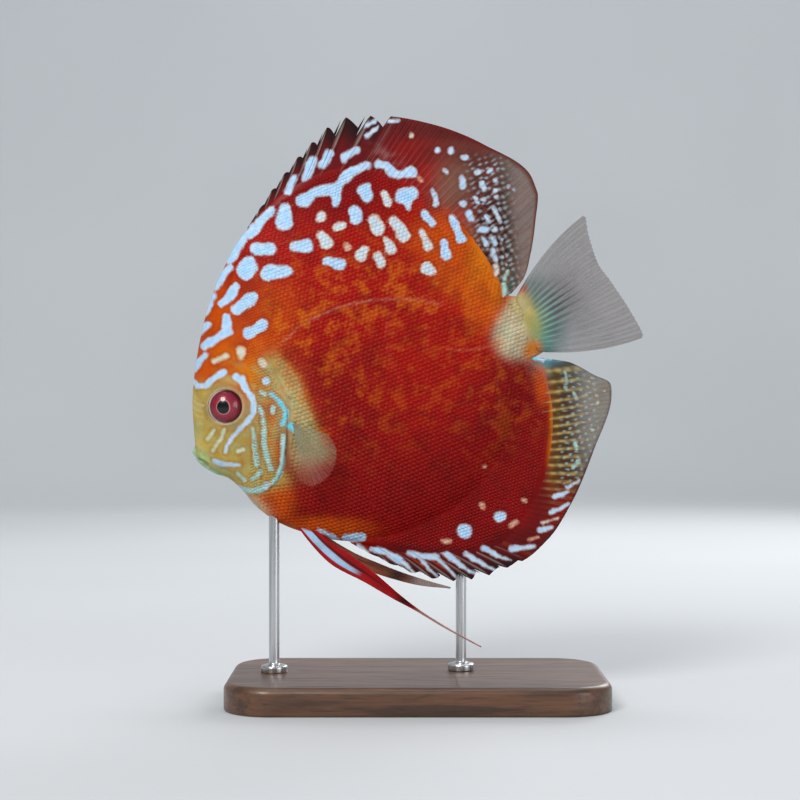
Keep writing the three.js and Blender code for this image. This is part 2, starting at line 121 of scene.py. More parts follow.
def catmull(points, per=12):
    p = np.array(points, float)
    p = np.vstack([2 * p[0] - p[1], p, 2 * p[-1] - p[-2]])
    t = np.linspace(0, 1, per, endpoint=False)[:, None]
    out = [0.5 * (2 * b + (c - a) * t + (2 * a - 5 * b + 4 * c - d) * t ** 2 + (3 * b - a - 3 * c + d) * t ** 3)
           for a, b, c, d in zip(p[:-3], p[1:-2], p[2:-1], p[3:])]
    return np.vstack(out + [p[-2][None]])


def to_line(u, v, line):
    """Distance from points to a polyline, and how far along it (0 to 1) the nearest point lies."""
    line = np.asarray(line, float)
    best, along = np.full(np.shape(u), 1e9), np.zeros(np.shape(u))
    seg = np.hypot(*np.diff(line, axis=0).T)
    run = np.concatenate([[0], np.cumsum(seg)])
    for k in range(len(seg)):
        ax, ay = line[k]
        dx, dy = line[k + 1] - line[k]
        t = np.clip(((u - ax) * dx + (v - ay) * dy) / max(dx * dx + dy * dy, 1e-9), 0, 1)
        d = np.hypot(u - ax - t * dx, v - ay - t * dy)
        near = d < best
        best = np.where(near, d, best)
        along = np.where(near, (run[k] + t * seg[k]) / run[-1], along)
    return best, along


def inside(u, v, poly):
    poly = np.asarray(poly, float)
    hit = np.zeros(np.shape(u), bool)
    for (ax, ay), (bx, by) in zip(poly, np.roll(poly, -1, axis=0)):
        if ay == by:
            continue
        hit ^= ((ay > v) != (by > v)) & (u < (bx - ax) * (v - ay) / (by - ay) + ax)
    return hit


# whole outline of the skin in side view: body and both sheaths, walked once round
us = np.linspace(0, 1, 400)
top_u = NOSE_U + (43.4 - NOSE_U) * us ** 2
low_u = 36.3 - (36.3 - NOSE_U) * (1 - (1 - us) ** 2)
OUTLINE = np.vstack([np.stack([top_u, back(top_u)], 1), catmull(dorsal_sheath, 20)[1:],
                     [[TAIL_ROOT_U, 8.2], [TAIL_ROOT_U, -12.7]], catmull(anal_sheath, 20),
                     np.stack([low_u, belly(low_u)], 1)[1:]])
BODY_EDGE = np.vstack([np.stack([np.linspace(NOSE_U, TAIL_ROOT_U, 900), back(np.linspace(NOSE_U, TAIL_ROOT_U, 900))], 1),
                       np.stack([np.linspace(TAIL_ROOT_U, NOSE_U, 900), belly(np.linspace(TAIL_ROOT_U, NOSE_U, 900))], 1)])

# ------------------------------------------------------------------ lines of the head, in the picture's frame
def line_uv(*pts):
    return np.array([uv_of(*p) for p in pts])


GILL_EDGE = catmull(line_uv((266, 352), (279, 381), (288, 404), (289, 428), (287, 450), (284, 468), (275, 484), (260, 494), (246, 498)), 8)
PREOPERCLE = catmull(line_uv((247, 372), (254, 396), (256, 425), (258, 452), (263, 474), (262, 486)), 8)
GAPE = catmull(line_uv((190, 455.5), (196, 457.5), (203, 461), (209, 465.5)), 8)
JAW_FOLD = catmull(line_uv((209, 455), (214, 463), (224, 468), (238, 474)), 8)
LATERAL = catmull(line_uv((276, 350), (282, 343), (302, 324), (323, 314), (339, 307), (372, 300), (401, 299), (420, 300), (447, 305)), 8)
LATERAL_REAR = catmull(line_uv((443, 348), (472, 350), (497, 344), (515, 334)), 8)
KEEL_P, KEEL_Q, COAT = 2.1, 0.66, 0.16


def bump(u, v, cu, cv, r):
    return np.exp(-((u - cu) ** 2 + (v - cv) ** 2) / (r * r))


def wobble(u, v, scale, seed):
    """Small smooth field in -1..1 without any library noise."""
    a = np.sin(u * 1.7 / scale + seed * 1.3 + 1.9 * np.sin(v * 1.1 / scale + seed)) * np.cos(v * 1.9 / scale - seed * 0.7)
    b = np.sin((u * 0.6 + v * 0.8) * 2.9 / scale + seed * 2.1) * np.sin((u * 0.8 - v * 0.6) * 3.1 / scale + seed)
    return 0.6 * a + 0.4 * b


def body_half(u, v):
    r = ridge(u)
    t = np.where(v >= r, (v - r) / np.maximum(back(u) - r, 1e-6), (r - v) / np.maximum(r - belly(u), 1e-6))
    t = np.clip(t, 0, 1)
    h = half_width(u) * (1 - t ** KEEL_P) ** KEEL_Q
    h = np.where((u < NOSE_U) | (u > TAIL_ROOT_U + 0.01), 0, h)
    return np.maximum(h - COAT * np.clip(h / 0.6, 0, 1), 0)


def head_form(u, v):
    """Folds and plates of the head, in mm out of the plain form."""
    eye = np.hypot(u - EYE_U, v - EYE_V)
    gape, along = to_line(u, v, GAPE)
    r = (0.55 * bump(u, v, 1.0, 1.4, 1.8) + 0.5 * bump(u, v, 1.2, -4.4, 1.8) - 0.35 * bump(u, v, 4.6, 3.4, 2.6)
         + 0.45 * np.exp(-((eye - 7.2) / 1.6) ** 2) + 0.5 * bump(u, v, 26, -4, 8) + 0.3 * bump(u, v, 14, -9, 5))
    r += 0.34 * np.exp(-((gape - 1.0) / 0.55) ** 2) * (1 - 0.55 * along) - 0.75 * np.exp(-(gape / 0.34) ** 2) * (1 - 0.5 * along)
    jaw, _ = to_line(u, v, JAW_FOLD)
    r -= 0.22 * np.exp(-(jaw / 0.55) ** 2)
    # gill cover: a free edge with a lip, and a groove just behind it
    d, a = to_line(u, v, GILL_EDGE)
    gu = np.interp(v, GILL_EDGE[::-1, 1], GILL_EDGE[::-1, 0])
    behind = np.where(v > GILL_EDGE[-1, 1], u - gu, 1)
    fade = smooth(0.0, 0.14, a) * (1 - smooth(0.93, 1.0, a))
    r += fade * (0.42 * np.exp(-(np.minimum(behind, 0) / 2.6) ** 2) * (behind <= 0) * (1 - np.exp(-(d / 0.28) ** 2) * 0.5)
                 - 0.62 * np.exp(-((behind - 0.35) / 0.55) ** 2) * (behind > 0))
    pre, a = to_line(u, v, PREOPERCLE)
    r -= 0.26 * np.exp(-(pre / 0.5) ** 2) * smooth(0, 0.15, a) * (1 - smooth(0.85, 1, a))
    r += 0.14 * np.exp(-((pre - 1.1) / 0.8) ** 2)
    # nostril: a small rimmed pit ahead of the eye; wrinkles of the snout beside it
    nu, nv = uv_of(204.5, 404.5)
    n = np.hypot(u - nu, v - nv)
    r += 0.16 * np.exp(-((n - 0.95) / 0.3) ** 2) - 0.75 * np.exp(-(n / 0.52) ** 2)
    for k, off in enumerate((-3.0, -1.2, 0.9, 3.0)):
        fold = catmull(line_uv((190.5, 396 + 5 * k), (195, 401 + 4.4 * k), (201, 401.5 + 4.6 * k + off * 0.3)), 5)
        f, a = to_line(u, v, fold)
        r -= 0.10 * np.exp(-(f / 0.32) ** 2) * (1 - 0.6 * a)
    # orbit: a soft lid of skin round the eye, then the opening that the eyeball fills
    r += 0.42 * np.exp(-((eye - 5.95) / 0.5) ** 2)
    r -= 3.6 * (1 - smooth(4.9, 5.55, eye))
    return r


def sheath_half(u, v):
    """Half thickness of the fin sheaths: fleshy beside the body, thin at their rims."""
    d_body, _ = to_line(u, v, BODY_EDGE[::12])
    return 0.42 + 0.95 * np.exp(-(d_body / 3.4) ** 1.4)


def skin_half(u, v, rim=None):
    """Half thickness of the skin's surface at a point in side view."""
    h = body_half(u, v)
    w = np.clip(h / 3, 0, 1)
    head = u < 48
    form = np.zeros_like(h)
    form[head] = head_form(u[head], v[head])
    h = np.maximum(h + form * w, 0)
    if rim is None:
        rim = to_line(u, v, OUTLINE[::3])[0]
    deck = sheath_half(u, v)
    edge = np.sqrt(np.clip(1 - (1 - np.clip(rim / 2.6, 0, 1)) ** 2, 0, 1))
    in_sheath = ((u > 43) & (v > 8)) | ((u > 36.5) & (v < -13))
    k = smooth(43, 49, u) * (v > 8) + smooth(36.5, 42, u) * (v < -13)
    deck = deck * edge * np.where(in_sheath, np.clip(k, 0, 1), 0)
    out = (h ** 3 + deck ** 3) ** (1 / 3)
    return np.where(rim <= 1e-6, 0, out)


# ------------------------------------------------------------------ markings: strokes, spots, colours
# pale blue-white marks of the near side, each a run of points with a half width at its ends (picture pixels)
STROKES = [
    ([(250, 233), (270, 212)], 5.2, 4.4, 0), ([(284, 222), (285, 209)], 7, 6.4, 0), ([(256, 249), (270, 249)], 6.4, 7, 0),
    ([(293, 247), (308, 246)], 4.6, 5.6, 0), ([(246, 271), (248, 266)], 8, 7.6, 0), ([(268, 273), (287, 271)], 6.8, 6.6, 0),
    ([(325, 261), (341, 264)], 3.4, 5.0, 0), ([(236, 288), (222, 304)], 4.2, 4.6, 0), ([(251, 298), (238, 309)], 5.6, 6.4, 0),
    ([(262, 325), (248, 333)], 5.6, 5.8, 0), ([(226, 318), (228, 331), (214, 340), (204, 346)], 4.6, 3.6, 0),
    ([(209, 325), (199, 332)], 3.0, 3.8, 0), ([(243, 235), (238, 246), (229, 260)], 4.4, 4.6, 0),
    ([(231, 268), (221, 276), (214, 287)], 3.6, 4.6, 0), ([(212, 297), (207, 306), (202, 316)], 4.0, 3.8, 0),
    ([(241, 350), (241, 358)], 4.2, 2.6, 6), ([(226, 356), (214, 361)], 3.0, 2.8, 6), ([(205, 355), (199, 362), (194, 370)], 3.0, 3.2, 0),
    ([(261, 361), (264, 365)], 3.6, 3.0, 6), ([(303, 201), (313, 194), (325, 190), (336, 189), (347, 175), (357, 170), (366, 166)], 5.6, 4.0, 0),
    ([(335, 190), (336, 203)], 7, 4.6, 0), ([(364, 189), (367, 196)], 7.4, 6.6, 0), ([(354, 211), (356, 217)], 5.4, 6, 0),
    ([(321, 215), (321, 218)], 3.6, 4.0, 1), ([(338, 226), (341, 226)], 4.8, 4.8, 1), ([(321, 236), (327, 243)], 5.2, 5.8, 1),
    ([(346, 246), (348, 248)], 3.8, 3.4, 2), ([(361, 256), (365, 250)], 5.2, 5.0, 1), ([(374, 220), (378, 229)], 6.0, 6.6, 1),
    ([(384, 193), (388, 203)], 3.8, 4.2, 1), ([(403, 196), (411, 194)], 6.4, 6.2, 0), ([(407, 198), (408, 208)], 6.4, 2.4, 0),
    ([(394, 221), (404, 236)], 6.4, 6.0, 1), ([(386, 239), (390, 249)], 3.6, 5.0, 1), ([(378, 257), (382, 264)], 3.8, 4.6, 1),
    ([(345, 158), (356, 150)], 3.8, 4.4, 0), ([(323, 164), (329, 154)], 5.0, 4.4, 0), ([(313, 160), (306, 177)], 4.0, 4.2, 0),
    ([(295, 178), (288, 191)], 3.4, 4.0, 0), ([(377, 164), (386, 166), (393, 173), (400, 175), (412, 172)], 3.8, 4.4, 0),
    ([(418, 177), (421, 181)], 2.2, 1.6, 2), ([(366, 126), (379, 117)], 1.7, 1.2, 0), ([(368, 136), (377, 126)], 2.0, 1.4, 0),
    ([(387, 121), (399, 120)], 1.5, 1.4, 0), ([(433, 191), (437, 205)], 1.8, 2.6, 1), ([(424, 213), (432, 224)], 3.6, 3.6, 0),
    ([(422, 233), (428, 246)], 3.2, 4.0, 1), ([(444, 243), (446, 255)], 4.8, 5.2, 1), ([(452, 217), (461, 238)], 2.8, 4.8, 0),
    ([(427, 268), (430, 270)], 5.6, 5.2, 1),
    # soft dorsal dots
    ([(412, 135)] * 2, 2.2, 2.2, 1), ([(438, 150)] * 2, 3.2, 3.2, 0), ([(451, 150)] * 2, 3.0, 3.0, 0), ([(464, 158)] * 2, 2.8, 2.8, 0),
    ([(445, 171), (447, 173)], 2.0, 2.0, 1), ([(461, 178), (462, 185)], 3.0, 2.7, 1), ([(478, 172)] * 2, 2.8, 2.8, 1),
    ([(489, 172), (492, 170)], 1.8, 1.8, 2), ([(496, 181)] * 2, 2.0, 2.0, 2), ([(482, 184), (484, 187)], 2.6, 2.2, 1),
    ([(495, 190)] * 2, 1.8, 1.8, 2), ([(475, 198), (477, 202)], 2.2, 2.2, 1), ([(484, 199)] * 2, 2.6, 2.6, 1),
    ([(462, 204)] * 2, 3.4, 3.4, 1), ([(469, 214), (471, 219)], 3.2, 3.2, 0), ([(486, 217), (488, 221)], 2.4, 2.4, 0),
    ([(494, 208), (497, 216), (501, 222)], 1.8, 1.4, 1), ([(480, 230), (486, 230)], 2.8, 2.8, 0), ([(494, 229)] * 2, 2.4, 2.4, 0),
    ([(483, 239), (486, 243)], 2.4, 2.4, 0), ([(493, 238), (495, 242)], 2.2, 2.2, 0), ([(492, 250), (493, 253)], 2.2, 2.0, 0),
    ([(494, 256), (496, 260)], 2.4, 2.0, 0), ([(495, 266), (496, 274)], 2.3, 2.0, 1), ([(503, 285), (504, 294)], 1.8, 2.2, 3),
    ([(497, 197)] * 2, 1.6, 1.6, 2), ([(503, 257)] * 2, 1.2, 1.2, 1), ([(506, 264)] * 2, 1.2, 1.2, 1), ([(508, 187)] * 2, 1.6, 1.6, 2),
    ([(514, 190)] * 2, 1.3, 1.3, 2), ([(503, 240)] * 2, 1.3, 1.3, 2), ([(502, 229)] * 2, 1.2, 1.2, 2), ([(507, 272), (505, 280)], 1.2, 1.4, 3),
    # lower trunk and anal fin
    ([(464.6, 531)] * 2, 7.0, 7.0, 0), ([(499, 517), (501, 516)], 5.6, 5.4, 0), ([(511, 526), (516, 522)], 2.6, 2.2, 2),
    ([(443, 541), (450, 541)], 2.4, 3.2, 2), ([(482, 504), (484, 508)], 2.6, 2.4, 2), ([(484, 467)] * 2, 2.2, 2.0, 2),
    ([(523, 500), (525, 501)], 2.0, 1.8, 2), ([(567, 487), (579, 481)], 1.4, 1.2, 0), ([(555, 497), (568, 492)], 2.6, 1.4, 0),
    ([(551, 512), (569, 504)], 2.4, 1.0, 0), ([(542, 523), (558, 518)], 1.0, 0.7, 1), ([(540, 530), (552, 527)], 2.6, 1.4, 0),
    ([(529, 540), (538, 537)], 1.4, 1.0, 2), ([(512, 549), (534, 546)], 3.8, 1.6, 0), ([(484, 548), (492, 553), (501, 558), (511, 560)], 3.6, 0.8, 0),
    ([(466, 554), (474, 559), (484, 565), (497, 571)], 3.6, 0.7, 0), ([(446, 554), (456, 561), (466, 569), (479, 575)], 3.8, 0.7, 0),
    ([(409, 553), (422, 556), (437, 557)], 2.8, 3.8, 0), ([(437, 558), (446, 567), (456, 577)], 2.2, 0.7, 0), ([(420, 558), (429, 569), (438, 577)], 2.4, 0.7, 0),
    ([(372, 549), (385, 552), (399, 560)], 2.8, 4.4, 0), ([(399, 560), (407, 566), (415, 574)], 3.0, 0.7, 0), ([(359, 546), (365, 551), (370, 556)], 2.4, 1.4, 0),
    ([(346, 538), (362, 537)], 4.2, 3.8, 0), ([(319, 530), (328, 534), (337, 540)], 1.6, 2.6, 0), ([(337, 547), (346, 552)], 2.0, 1.6, 0),
    ([(565, 372), (567, 384)], 1.4, 1.0, 3), ([(574, 392), (577, 400)], 1.4, 1.0, 3), ([(575, 444), (577, 450)], 2.2, 1.8, 3),
    ([(573, 466), (580, 461)], 1.8, 1.4, 3), ([(591, 430)] * 2, 1.6, 1.6, 3), ([(596, 396)] * 2, 1.4, 1.4, 2), ([(587, 395)] * 2, 1.1, 1.1, 2),
    ([(566, 388)] * 2, 1.6, 1.6, 3), ([(604, 391)] * 2, 1.1, 1.1, 2), ([(589, 382)] * 2, 1.1, 1.1, 2), ([(597, 403)] * 2, 1.1, 1.1, 2),
    ([(535, 357), (545, 357), (556, 356)], 2.6, 3.4, 4), ([(533, 355), (543, 361)], 1.4, 1.8, 0),
    # face
    ([(224, 372), (214, 378), (206, 386), (198, 386), (193, 381)], 3.0, 2.4, 0),
    ([(236, 377), (242, 380), (246, 389), (251, 396), (254, 404), (253, 414), (247, 422), (238, 431), (231, 439), (227, 446), (225, 452)], 3.4, 1.4, 0),
    ([(242, 380)] * 2, 4.4, 4.4, 0), ([(214, 430), (208, 439)], 1.6, 2.0, 7), ([(224, 430), (221, 439), (213, 450)], 1.5, 1.6, 7),
    ([(238, 451), (243, 450)], 1.8, 2.0, 7), ([(215, 461), (221, 464), (231, 465), (239, 465)], 2.6, 1.4, 0),
    ([(237, 473), (245, 480)], 1.6, 1.4, 3), ([(260, 472), (257, 476), (252, 479)], 2.4, 1.8, 3),
    ([(253, 428), (254, 438), (255, 450), (257, 464)], 1.4, 2.4, 3), ([(260, 407), (263, 416), (264, 430)], 2.2, 1.6, 3),
    ([(264, 430), (264, 444), (267, 458), (271, 469)], 2.4, 2.4, 3), ([(273, 408), (273, 413)], 2.4, 2.0, 3),
    ([(266, 381)] * 2, 3.8, 3.8, 0), ([(261, 392), (264, 394)], 2.2, 2.0, 3), ([(271, 394), (279, 401), (286, 411), (285, 418), (282, 424)], 2.0, 2.6, 4),
    ([(291, 426), (296, 433)], 3.8, 2.6, 4), ([(283, 436), (283, 449), (282, 465), (279, 475), (273, 482)], 2.4, 2.6, 3),
    ([(239, 487), (250, 491), (260, 490), (266, 486)], 2.0, 3.4, 3), ([(267, 484), (266, 488)], 2.4, 2.2, 0),
    ([(193, 449), (195, 455), (197, 461), (206, 468), (216, 474), (227, 479)], 1.6, 1.6, 5),
    ([(229, 480), (238, 487), (247, 499), (256, 508)], 1.2, 1.8, 5),
]

def srgb(*c):
    c = np.array(c, float) / 255
    return np.where(c <= 0.04045, c / 12.92, ((c + 0.055) / 1.055) ** 2.4)


TINTS = np.array([srgb(156, 198, 236), srgb(180, 200, 214), srgb(200, 150, 124), srgb(150, 200, 200), srgb(92, 196, 224), srgb(140, 196, 168), srgb(198, 190, 172), srgb(186, 200, 184)])
RIMS = np.array([srgb(190, 200, 206), srgb(220, 184, 150), srgb(190, 110, 70), srgb(158, 186, 164), srgb(110, 180, 180), srgb(150, 186, 140), srgb(190, 150, 90), srgb(188, 186, 132)])
RED, DEEP, DARK, ORANGE = srgb(156, 11, 0), srgb(126, 2, 3), srgb(88, 3, 6), srgb(190, 72, 0)
AMBER, YELLOW, OLIVE, BREAST = srgb(200, 112, 8), srgb(184, 158, 78), srgb(172, 150, 88), srgb(190, 110, 66)
GREEN, SAND, PALE, BROWN = srgb(150, 186, 130), srgb(180, 164, 112), srgb(204, 198, 164), srgb(110, 84, 68)
SMOKE, TEAL, LIME, GREY = srgb(104, 92, 80), srgb(72, 132, 124), srgb(142, 154, 84), srgb(122, 114, 112)
# pools of pigment: name of colour, place, reach, strength (picture pixels)
POOLS = [
    (RED, 380, 330, 150, 150, 0.5), (DEEP, 340, 420, 70, 80, 0.9), (DEEP, 470, 460, 90, 70, 1.0), (DEEP, 330, 180, 60, 40, 0.9),
    (RED, 420, 400, 60, 60, 0.9), (RED, 300, 300, 60, 60, 0.6), (ORANGE, 270, 310, 34, 30, 0.9), (ORANGE, 250, 345, 40, 22, 1.0),
    (ORANGE, 215, 325, 22, 36, 1.1), (ORANGE, 205, 372, 16, 12, 1.3), (AMBER, 228, 352, 20, 12, 0.7), (AMBER, 252, 378, 16, 22, 1.3),
    (YELLOW, 205, 425, 26, 34, 2.6), (YELLOW, 232, 455, 26, 30, 2.4), (OLIVE, 262, 440, 16, 40, 2.0), (YELLOW, 255, 480, 24, 12, 2.0),
    (GREEN, 200, 458, 12, 10, 2.4), (GREEN, 218, 472, 14, 6, 1.8), (OLIVE, 272, 375, 14, 20, 1.8), (SAND, 290, 400, 14, 26, 2.6),
    (SAND, 305, 435, 14, 26, 2.4), (AMBER, 300, 398, 9, 34, 0.8), (SAND, 320, 448, 8, 14, 1.2), (RED, 255, 300, 30, 26, 0.5),
    (ORANGE, 272, 500, 18, 18, 1.0), (BREAST, 258, 506, 12, 7, 1.6), (ORANGE, 322, 528, 42, 10, 0.62), (ORANGE, 460, 262, 26, 30, 1.3),
    (AMBER, 478, 262, 14, 30, 1.2), (ORANGE, 440, 240, 30, 24, 0.7), (ORANGE, 485, 300, 18, 26, 1.3), (AMBER, 494, 290, 8, 22, 1.1),
    (PALE * 0.84, 516, 331, 16, 20, 2.1), (YELLOW, 530, 318, 10, 16, 1.9), (SAND, 521, 308, 11, 10, 1.7), (LIME, 534, 326, 10, 16, 1.6), (AMBER, 533, 348, 9, 8, 2.2),
    (ORANGE, 541, 385, 7, 20, 1.2), (AMBER, 556, 405, 6, 40, 1.1), (AMBER, 553, 455, 6, 30, 0.8), (DARK, 540, 500, 16, 24, 0.7), (DEEP, 520, 430, 30, 60, 1.2),
    (ORANGE, 268, 412, 9, 12, 1.7), (ORANGE, 277, 452, 5, 14, 1.3), (AMBER, 243, 392, 9, 10, 0.9), (AMBER, 250, 446, 12, 8, 0.8),
    (ORANGE, 256, 480, 8, 5, 1.1), (AMBER, 212, 452, 10, 5, 0.7), (RED, 245, 345, 10, 6, 0.8),
    (DARK, 300, 150, 40, 40, 0.9), (DARK, 350, 130, 40, 24, 1.2), (RED, 420, 165, 34, 30, 0.8), (BROWN, 450, 175, 24, 30, 0.8),
    (DARK, 430, 125, 60, 12, 1.4), (DARK, 520, 545, 30, 14, 1.2), (DARK, 430, 565, 80, 14, 1.1), (TEAL, 556, 340, 22, 40, 1.2),
]


# thin lines of the pigment: edge of the gill area, lateral line, streaks of the flank
FINE_LINES = [
    ([(286, 392), (292, 402), (303, 413), (313, 428), (320, 444), (323, 455)], 1.5, srgb(104, 60, 14), 0.75),
    ([(268, 352), (279, 372), (290, 384), (300, 396)], 1.4, srgb(120, 62, 10), 0.5),
    ([(276, 350), (282, 343), (302, 324), (323, 314), (339, 307), (356, 303), (372, 300), (401, 299), (420, 300), (447, 305)], 0.95, srgb(216, 150, 122), 0.5),
    ([(443, 348), (458, 350), (472, 350), (486, 347), (497, 344), (506, 340)], 0.95, srgb(206, 126, 84), 0.42),
    ([(388, 262), (388, 300), (386, 340), (392, 366), (404, 384)], 1.1, srgb(196, 70, 50), 0.35),
    ([(190, 455), (197, 457.5), (204, 461), (209, 464)], 0.9, srgb(70, 66, 34), 0.7),
    ([(192, 447), (199, 449), (206, 455)], 1.0, srgb(132, 150, 96), 0.5),
    ([(209, 455), (214, 463), (224, 468), (238, 474)], 0.9, srgb(134, 112, 44), 0.45),
    ([(257, 372), (258, 398), (260, 430), (261, 462), (262, 484)], 1.2, srgb(150, 96, 24), 0.4),
    ([(191, 397), (196, 403), (205, 406)], 0.9, srgb(206, 194, 160), 0.6), ([(191.5, 404), (196, 409.5), (203, 412)], 0.9, srgb(206, 194, 160), 0.55),
    ([(192, 411), (197, 416), (204, 418)], 0.9, srgb(206, 194, 160), 0.45), ([(191.5, 391), (195, 397), (200, 400)], 0.9, srgb(206, 180, 150), 0.45),
    ([(192, 420), (198, 424), (205, 424)], 0.9, srgb(196, 190, 140), 0.35),
    ([(264, 361), (275, 372), (286, 387), (297, 404), (308, 425), (316, 446)], 5.0, srgb(176, 172, 122), 0.8),
    ([(268, 358), (281, 374), (293, 391), (306, 410), (317, 430), (323, 448)], 2.6, srgb(186, 136, 40), 0.5),
]


def noise_px(x, y, amp, seed):
    return amp * wobble(x, y, 26.0, seed), amp * wobble(y, x, 26.0, seed + 4)


def paint(p, margin=None):
    """Pigment at points of the surface: base colour, signed distance to the pale marks, tint, mottling."""
    x, y = seen(p)
    right = p[:, 1] > 0.02
    dx, dy = noise_px(x, y, 4.0, 7.0)
    x, y = np.where(right, x + dx, x), np.where(right, y + dy, y)
    base, total = np.zeros((len(x), 3)), np.full(len(x), 1e-4)
    base += RED * 1e-4
    for colour, cx, cy, rx, ry, k in POOLS:
        w = k * np.exp(-(((x - cx) / rx) ** 2 + ((y - cy) / ry) ** 2)) ** 1.0
        w = w * w
        base += colour * w[:, None]
        total += w
    base /= total[:, None]
    face = smooth(275, 255, x) * smooth(352, 384, y) * smooth(512, 488, y)
    w1 = wobble(x, y, 11.0, 3.1)
    base = lerp(base, srgb(172, 172, 112), (0.55 * face * smooth(-0.1, 0.6, w1))[:, None])
    base = lerp(base, srgb(196, 124, 34), (0.5 * face * smooth(0.15, 0.7, -wobble(y, x, 8.0, 1.7)) * smooth(200, 226, x))[:, None])
    cheek = np.exp(-(((x - 268) / 13) ** 2 + ((y - 425) / 46) ** 2))
    base = lerp(base, srgb(196, 108, 22), (0.75 * cheek * smooth(0.0, 0.5, wobble(x, y, 7.0, 6.0)))[:, None])
    throat = np.exp(-(((x - 250 - 0.9 * (y - 500)) / 9) ** 2)) * smooth(484, 494, y) * smooth(524, 508, y) * smooth(290, 270, x)
    base = lerp(base, srgb(210, 182, 146), (0.9 * throat)[:, None])
    eye = np.hypot(x - 225.6, y - 406.4)
    base = lerp(base, srgb(196, 184, 160), (0.75 * np.exp(-((eye - 17.2) / 1.3) ** 2))[:, None])
    base = lerp(base, srgb(150, 122, 96), (0.5 * np.exp(-((eye - 20.5) / 2.4) ** 2))[:, None])
    patch = np.exp(-(((x - 384) / 15) ** 2 + ((y - 154 - 0.5 * (x - 384)) / 7) ** 2) * 1.2) * smooth(-0.5, 0.4, wobble(x, y, 6.0, 9.0))
    base = lerp(base, srgb(214, 168, 168), (0.6 * patch)[:, None])
    # the pale band behind the gill ends in a crisp edge with an orange fringe, then the red flank begins
    past = x + 1.1 * wobble(x, y, 6.0, 4.0) - np.interp(y, [344, 352, 366, 381, 400, 419, 436, 455, 466], [270, 277, 289, 299, 306, 313, 319, 325, 328])
    on = smooth(-0.8, 1.6, past) * smooth(36, 16, past) * smooth(340, 356, y) * smooth(474, 456, y)
    base = lerp(base, lerp(srgb(160, 70, 12), srgb(146, 20, 8), smooth(1.5, 9, past)[:, None]), (0.88 * on)[:, None])
    best, tint = np.full(len(x), 40.0), np.zeros(len(x), int)
    calm = 1 - 0.7 * np.maximum(smooth(300, 280, x) * smooth(335, 352, y), smooth(500, 520, y))
    mx = x + calm * (1.5 * wobble(x, y, 13.0, 2.0) + 0.6 * wobble(x, y, 5.0, 5.0))
    my = y + calm * (1.5 * wobble(y, x, 13.0, 3.0) + 0.6 * wobble(y, x, 5.0, 8.0))
    plain_x, plain_y, x, y = x, y, mx, my
    for number, (pts, r0, r1, kind) in enumerate(STROKES):
        if pts[0][0] > 430 and pts[0][1] < 262 and kind in (1, 2):
            kind = 0
        if pts[0][0] > 560 and kind == 2:
            kind = 7
        pts = np.array(pts, float)
        lo, hi = pts.min(0) - 16, pts.max(0) + 16
        near = np.nonzero((x > lo[0]) & (x < hi[0]) & (y > lo[1]) & (y < hi[1]))[0]
        if not len(near):
            continue
        seg = np.hypot(*np.diff(pts, axis=0).T)
        if seg.sum() < 1e-6:
            d, a = np.hypot(x[near] - pts[0, 0], y[near] - pts[0, 1]), np.zeros(len(near))
        else:
            d, a = to_line(x[near], y[near], pts)
        # a run swells and narrows on its way and ends unevenly
        r = lerp(r0, r1, a)
        if pts[0][1] > 540 and pts[0][0] > 355:
            r = 0.8 * r
        d = d - r * (1 + 0.13 * np.sin(a * seg.sum() / max(r0 + r1, 2) * 2.3 + number * 1.7)) + 0.12 * min(r0, 4) * wobble(x[near], y[near], 7.0, number * 0.37)
        win = d < best[near]
        best[near[win]] = d[win]
        tint[near[win]] = kind
    x, y = plain_x, plain_y
    for pts, width, colour, k in FINE_LINES:
        lo, hi = np.min(pts, 0) - 6, np.max(pts, 0) + 6
        near = np.nonzero((x > lo[0]) & (x < hi[0]) & (y > lo[1]) & (y < hi[1]))[0]
        if len(near):
            d, a = to_line(x[near], y[near], pts)
            w = k * np.exp(-(d / width) ** 2) * smooth(0, 0.08, a) * (1 - smooth(0.92, 1, a)) * (0.72 + 0.28 * np.sin(a * 61 + 3 * np.sin(a * 17)))
            base[near] = lerp(base[near], colour, w[:, None])
    mott = (0.9 * np.exp(-(((x - 400) / 130) ** 2 + ((y - 290) / 46) ** 2)) + 0.8 * np.exp(-(((x - 285) / 50) ** 2 + ((y - 340) / 40) ** 2))
            + 0.4 * np.exp(-(((x - 330) / 50) ** 2 + ((y - 400) / 60) ** 2)) + 0.3 * np.exp(-(((x - 500) / 50) ** 2 + ((y - 380) / 60) ** 2))
            + 0.25 * np.exp(-(((x - 430) / 120) ** 2 + ((y - 400) / 50) ** 2)))
    heart = smooth(-0.4, -2.6, best)[:, None]
    return base, best, lerp(lerp(TINTS[tint], RIMS[tint], 0.75), TINTS[tint], heart), np.clip(mott, 0, 1)


# ------------------------------------------------------------------ mesh building
def make_mesh(name, verts, faces, smooth_shade=True):
    me = bpy.data.meshes.new(name)
    faces = np.asarray(faces)
    me.vertices.add(len(verts))
    me.vertices.foreach_set("co", (np.asarray(verts) * MM).astype(np.float32).ravel())
    n = faces.shape[1]
    me.loops.add(faces.size)
    me.loops.foreach_set("vertex_index", faces.astype(np.int32).ravel())
    me.polygons.add(len(faces))
    me.polygons.foreach_set("loop_start", np.arange(0, faces.size, n, dtype=np.int32))
    if smooth_shade:
        me.polygons.foreach_set("use_smooth", np.ones(len(faces), bool))
    me.update(calc_edges=True)
    ob = bpy.data.objects.new(name, me)
    bpy.context.scene.collection.objects.link(ob)
    return ob


def put(me, name, values):
    values = np.asarray(values, np.float32)
    if values.ndim == 1:
        me.attributes.new(name, "FLOAT", "POINT").data.foreach_set("value", values)
    else:
        me.attributes.new(name, "FLOAT_VECTOR", "POINT").data.foreach_set("vector", values.ravel())


